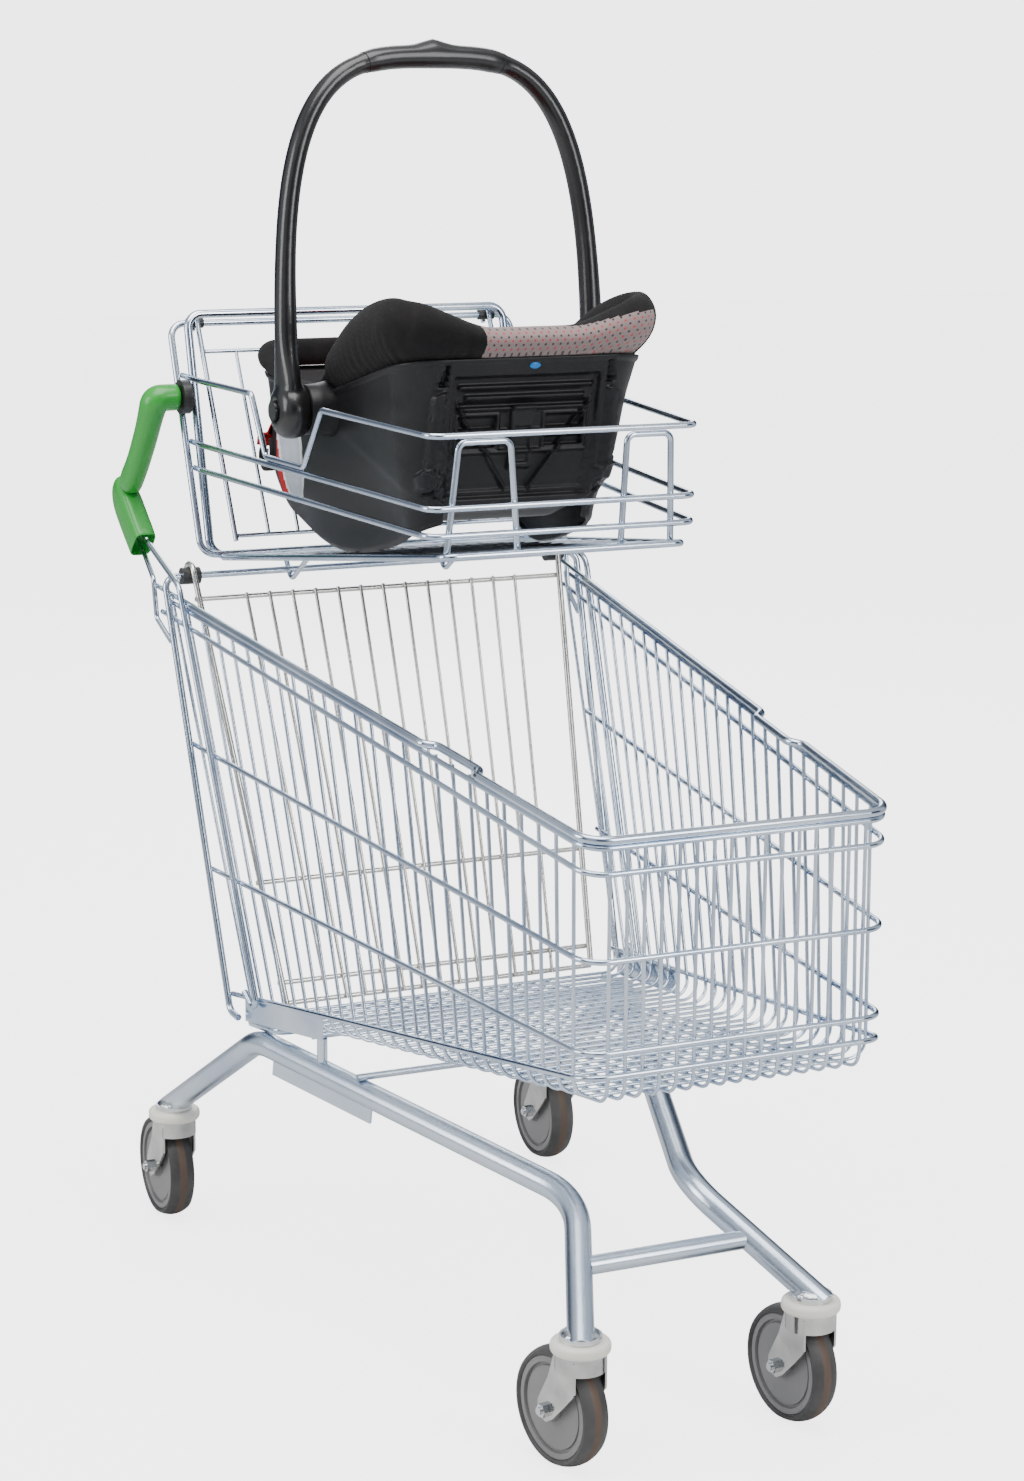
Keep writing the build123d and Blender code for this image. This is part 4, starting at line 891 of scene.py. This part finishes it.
def cushion(name, centre_u, centre_share, half_u, half_share, thick, material):
    """A small crowned pad that lies on the liner."""
    rings = []
    for i in range(25):
        a = math.pi * i / 24
        ring = []
        for j in range(48):
            b = 2 * math.pi * j / 48
            reach = math.sin(a) ** 0.55
            c, s = math.cos(b), math.sin(b)
            du = half_u * reach * signed_power(c, 0.7)
            ds = half_share * reach * signed_power(s, 0.7)
            u0, v0, w0 = on_liner(centre_u + du, centre_share + ds)
            ring.append(in_seat(u0, v0, w0 + thick * 0.5 - thick * 0.55 * math.cos(a)))
        rings.append(ring)
    piece = skin(name, rings, material)
    rest = [Vector(v.co) for v in piece.data.vertices]
    lay_uv(piece, [p.y for p in rest], [p.x for p in rest])
    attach(piece, "infant_carrier")


cushion("head_support", 158, 0, 36, 0.52, 16, black_cloth)
cushion("seat_insert", -40, 0, 46, 0.40, 9, liner_grey)


def strap(name, path, width_mm, material=black_web, thick=1.6):
    """A flat strap through seat points (u, v, w), as wide as it is told."""
    places = [in_seat(*p) for p in path]
    smooth = []
    for i in range(len(places) - 1):
        p0, p1, p2, p3 = (places[max(min(k, len(places) - 1), 0)] for k in (i - 1, i, i + 1, i + 2))
        for step in range(8):
            t = step / 8
            smooth.append(0.5 * (2 * p1 + (p2 - p0) * t + (2 * p0 - 5 * p1 + 4 * p2 - p3) * t * t
                                 + (3 * p1 - p0 - 3 * p2 + p3) * t ** 3))
    smooth.append(places[-1])
    rings = []
    for i, p in enumerate(smooth):
        ahead = (smooth[min(i + 1, len(smooth) - 1)] - smooth[max(i - 1, 0)]).normalized()
        outward = Vector((0, 0, 1)) - ahead * ahead.z
        outward = outward.normalized() if outward.length > 0.25 else Vector((1, 0, 0))
        side = ahead.cross(outward).normalized()
        outward = side.cross(ahead)
        ring = []
        for k in range(16):
            a = 2 * math.pi * (k + 0.5) / 16
            ring.append(p + side * (width_mm / 2000 * signed_power(math.cos(a), 0.35))
                        + outward * (thick / 2000 * signed_power(math.sin(a), 0.6)))
        rings.append(ring)
    piece = skin(name, rings, material)
    rest = [Vector(v.co) for v in piece.data.vertices]
    lay_uv(piece, [p.y for p in rest], [p.x + p.z for p in rest])
    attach(piece, "infant_carrier")


for label, side in SIDES:
    path = []
    for u, share in ((150, 0.2), (110, 0.26), (60, 0.3), (10, 0.28), (-30, 0.2), (-58, 0.07)):
        u0, v0, w0 = on_liner(u, side * share, 9 if -40 < u < 120 else 6)
        path.append((u0, v0, w0))
    strap("harness_" + label, path, 26)
path = [on_liner(u, 0, 8) for u in (-62, -80, -100, -118)]
strap("crotch_strap", path, 30)
buckle_plastic = with_group("buckle plastic", moulding, FINISH, {
    "Color": (0.02, 0.02, 0.021, 1), "Grain": 0.15, "Gloss": 0.25, "Dust": 0.02})
release_red = with_group("release button", moulding, FINISH, {
    "Color": (0.55, 0.02, 0.02, 1), "Grain": 0.1, "Gloss": 0.25, "Dust": 0.0})
middle = Vector(on_liner(-62, 0, 13))
for name, material, half, low, high in (
        ("buckle", buckle_plastic, (20, 15), -6, 6), ("buckle_button", release_red, (10, 6.5), 4, 8)):
    rings = []
    for share, lift in ((0.0, low), (0.8, low), (1.0, low + 2), (1.0, high - 2.2), (0.86, high - 0.4),
                        (0.6, high)):
        ring = []
        for j in range(40):
            a = 2 * math.pi * j / 40
            c, s = math.cos(a), math.sin(a)
            k = max(share, 0.02)
            ring.append(in_seat(middle.x + half[0] * k * signed_power(c, 0.6),
                                half[1] * k * signed_power(s, 0.6), middle.z + lift))
        rings.append(ring)
    piece = skin(name, rings, material)
    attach(piece, "infant_carrier")

# ---- Side aprons
# By the foot end the liner comes over the shell's edge on both sides, as a light grey apron bound in white
# with a red mesh corner, and a black webbing loop with a red tab hangs from it.

for label, side in SIDES:
    wide, tall = 26, 34
    points, flat, kinds, faces = [], [], [], []
    for lift in (0.0, 3.4):
        for i in range(tall + 1):
            w = 62 + 112 * i / tall
            back, front = -122.0, -46 - 16 * eased(w, 120, 160) - 22 * (1 - eased(w, 56, 96))
            for j in range(wide + 1):
                u = back + (front - back) * j / wide
                half = on_outline(("flank", (u - back) / 400 + 0.1, (0, 1)), w)[1]
                rim = min(i, tall - i, j, wide - j)
                puff = lift * eased(rim, -0.5, 3) + 0.9 * noise.noise(Vector((u * 0.03, w * 0.03, 5 + side)))
                points.append(in_seat(u, side * (half + 0.8 + puff), w))
                flat.append((u / 1000, w / 1000))
    count = wide + 1
    layer = (tall + 1) * count
    for i in range(tall):
        for j in range(wide):
            a = layer + i * count + j
            face = (a, a + 1, a + 1 + count, a + count)
            faces.append(face if side < 0 else tuple(reversed(face)))
            edge = min(i, tall - 1 - i, wide - 1 - j)
            share = (j - 0.35 * (tall - i)) / wide
            kinds.append(2 if edge < 1 or abs(share + 0.02) < 0.045 else (0 if share < 0 else 1))
    apron = link_mesh("apron_" + label, points, faces, [liner_red, liner_grey, white_piping])
    apron.data.polygons.foreach_set("material_index", kinds)
    lay_uv(apron, [x for x, _ in flat], [y for _, y in flat])
    thick = apron.modifiers.new("thick", "SOLIDIFY")
    thick.thickness = 0.002
    thick.offset = -1
    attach(apron, "infant_carrier")
    edge = side * 142
    loop = [(-150, edge, 148), (-160, edge + side * 5, 134), (-166, edge + side * 8, 116),
            (-160, edge + side * 8, 100), (-146, edge + side * 7, 98), (-138, edge + side * 6, 112),
            (-140, edge + side * 4, 134)]
    strap("webbing_loop_" + label, loop, 12)
    tab = [(-152, edge, 152), (-156, edge + side * 5, 140), (-158, edge + side * 7, 126)]
    strap("red_tab_" + label, tab, 24, liner_red, 2.4)

# ---- Carry handle
# The handle is moulded in glossy black plastic: an oval bow that thickens into a top grip, and two round
# hubs that turn on the shell's pivots. A thumb bump sits on top of the grip, between two joint lines.

gloss_black = with_group("gloss black plastic", moulding, FINISH, {
    "Color": (0.008, 0.0075, 0.0075, 1), "Grain scale": 1100.0, "Grain": 0.03, "Gloss": 0.22, "Dust": 0.01},
    Coat_Weight=0.3, Coat_Roughness=0.15)
lean = math.radians(-5)


def on_bow(x, y, h):
    """A place on the handle: x ahead of its plane, y across and h up from the pivots, in millimetres."""
    c, s = math.cos(lean), math.sin(lean)
    return pivot + Vector((x * c + h * s, y, h * c - x * s)) / 1000


bow_half_span, bow_rise, bow_square = 189, 386, 3.4
rings, places = [], []
steps = 150
for i in range(steps + 1):
    a = math.pi * i / steps
    a -= 0.16 * math.sin(2 * a)
    y = -bow_half_span * signed_power(math.cos(a), 2 / bow_square)
    h = bow_rise * max(math.sin(a), 0) ** (2 / bow_square)
    places.append((y, h))
for i, (y, h) in enumerate(places):
    before, after = places[max(i - 1, 0)], places[min(i + 1, steps)]
    dy, dh = after[0] - before[0], after[1] - before[1]
    length = math.hypot(dy, dh)
    ny, nh = dh / length, -dy / length
    flare = (1 - eased(h, 16, 92)) ** 1.4
    grip = 1 - eased(abs(y), 70, 92)
    wide = 12.6 - 1.6 * eased(h, 60, 200) * (1 - grip) + 0.6 * grip
    deep = 14.2 + 12 * flare + 2.2 * grip
    bump = 7 * math.exp(-(y / 19) ** 4) * grip
    ring = []
    for j in range(40):
        b = 2 * math.pi * j / 40
        across = wide * signed_power(math.cos(b), 0.88)
        if across < 0:
            across -= bump * abs(math.cos(b)) ** 2
        ring.append(on_bow(deep * math.sin(b), y + ny * across, h + nh * across))
    rings.append(ring)
bow = skin("carry_bow", rings, gloss_black)
hub_inner_face = 0.1725
hub_profile = [(0, 0.0205), (0, 0.0262), (0.0012, 0.0285), (0.006, 0.0305), (0.013, 0.0320), (0.020, 0.0315),
               (0.026, 0.0288), (0.0305, 0.0238), (0.0328, 0.018), (0.0334, 0.0128), (0.0334, 0.0113),
               (0.0225, 0.0113)]
hubs = []
for _, side in SIDES:
    hub_foot = pivot + Vector((0, side * hub_inner_face, 0))
    hubs.append(turned("hub", hub_foot, (0, side, 0), hub_profile, gloss_black, 64))
merged = bmesh.new()
for piece in [bow] + hubs:
    merged.from_mesh(piece.data)
    if piece is not bow:
        mesh = piece.data
        bpy.data.objects.remove(piece)
        bpy.data.meshes.remove(mesh)
bmesh.ops.recalc_face_normals(merged, faces=merged.faces)
merged.to_mesh(bow.data)
merged.free()
fuse = bow.modifiers.new("fuse", "REMESH")
fuse.mode = "VOXEL"
fuse.voxel_size = 0.0016
fuse.use_smooth_shade = True
even = bow.modifiers.new("even", "SMOOTH")
even.factor = 0.6
even.iterations = 16
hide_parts("carry_handle")
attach(bow, "carry_handle")
paint(gloss_black, "handle_button_right", "handle_button_left")

seam_dark = with_group("joint line", moulding, FINISH, {
    "Color": (0.004, 0.004, 0.004, 1), "Grain": 0.1, "Gloss": 0.5, "Dust": 0.0})
for label, side in SIDES:
    index = min(range(steps), key=lambda k: abs(places[k][0] - side * 84))
    centre = sum(rings[index], Vector()) / 40
    ahead = (sum(rings[index + 1], Vector()) / 40 - centre).normalized()
    loops = []
    for k in range(8):
        b = 2 * math.pi * k / 8
        spread, forward = 1.008 + 0.012 * math.cos(b), ahead * (0.0005 * math.sin(b))
        loops.append([centre + (p - centre) * spread + forward for p in rings[index]])
    line = skin("grip_joint_" + label, loops, seam_dark, round_again=True)
    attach(line, "carry_handle")
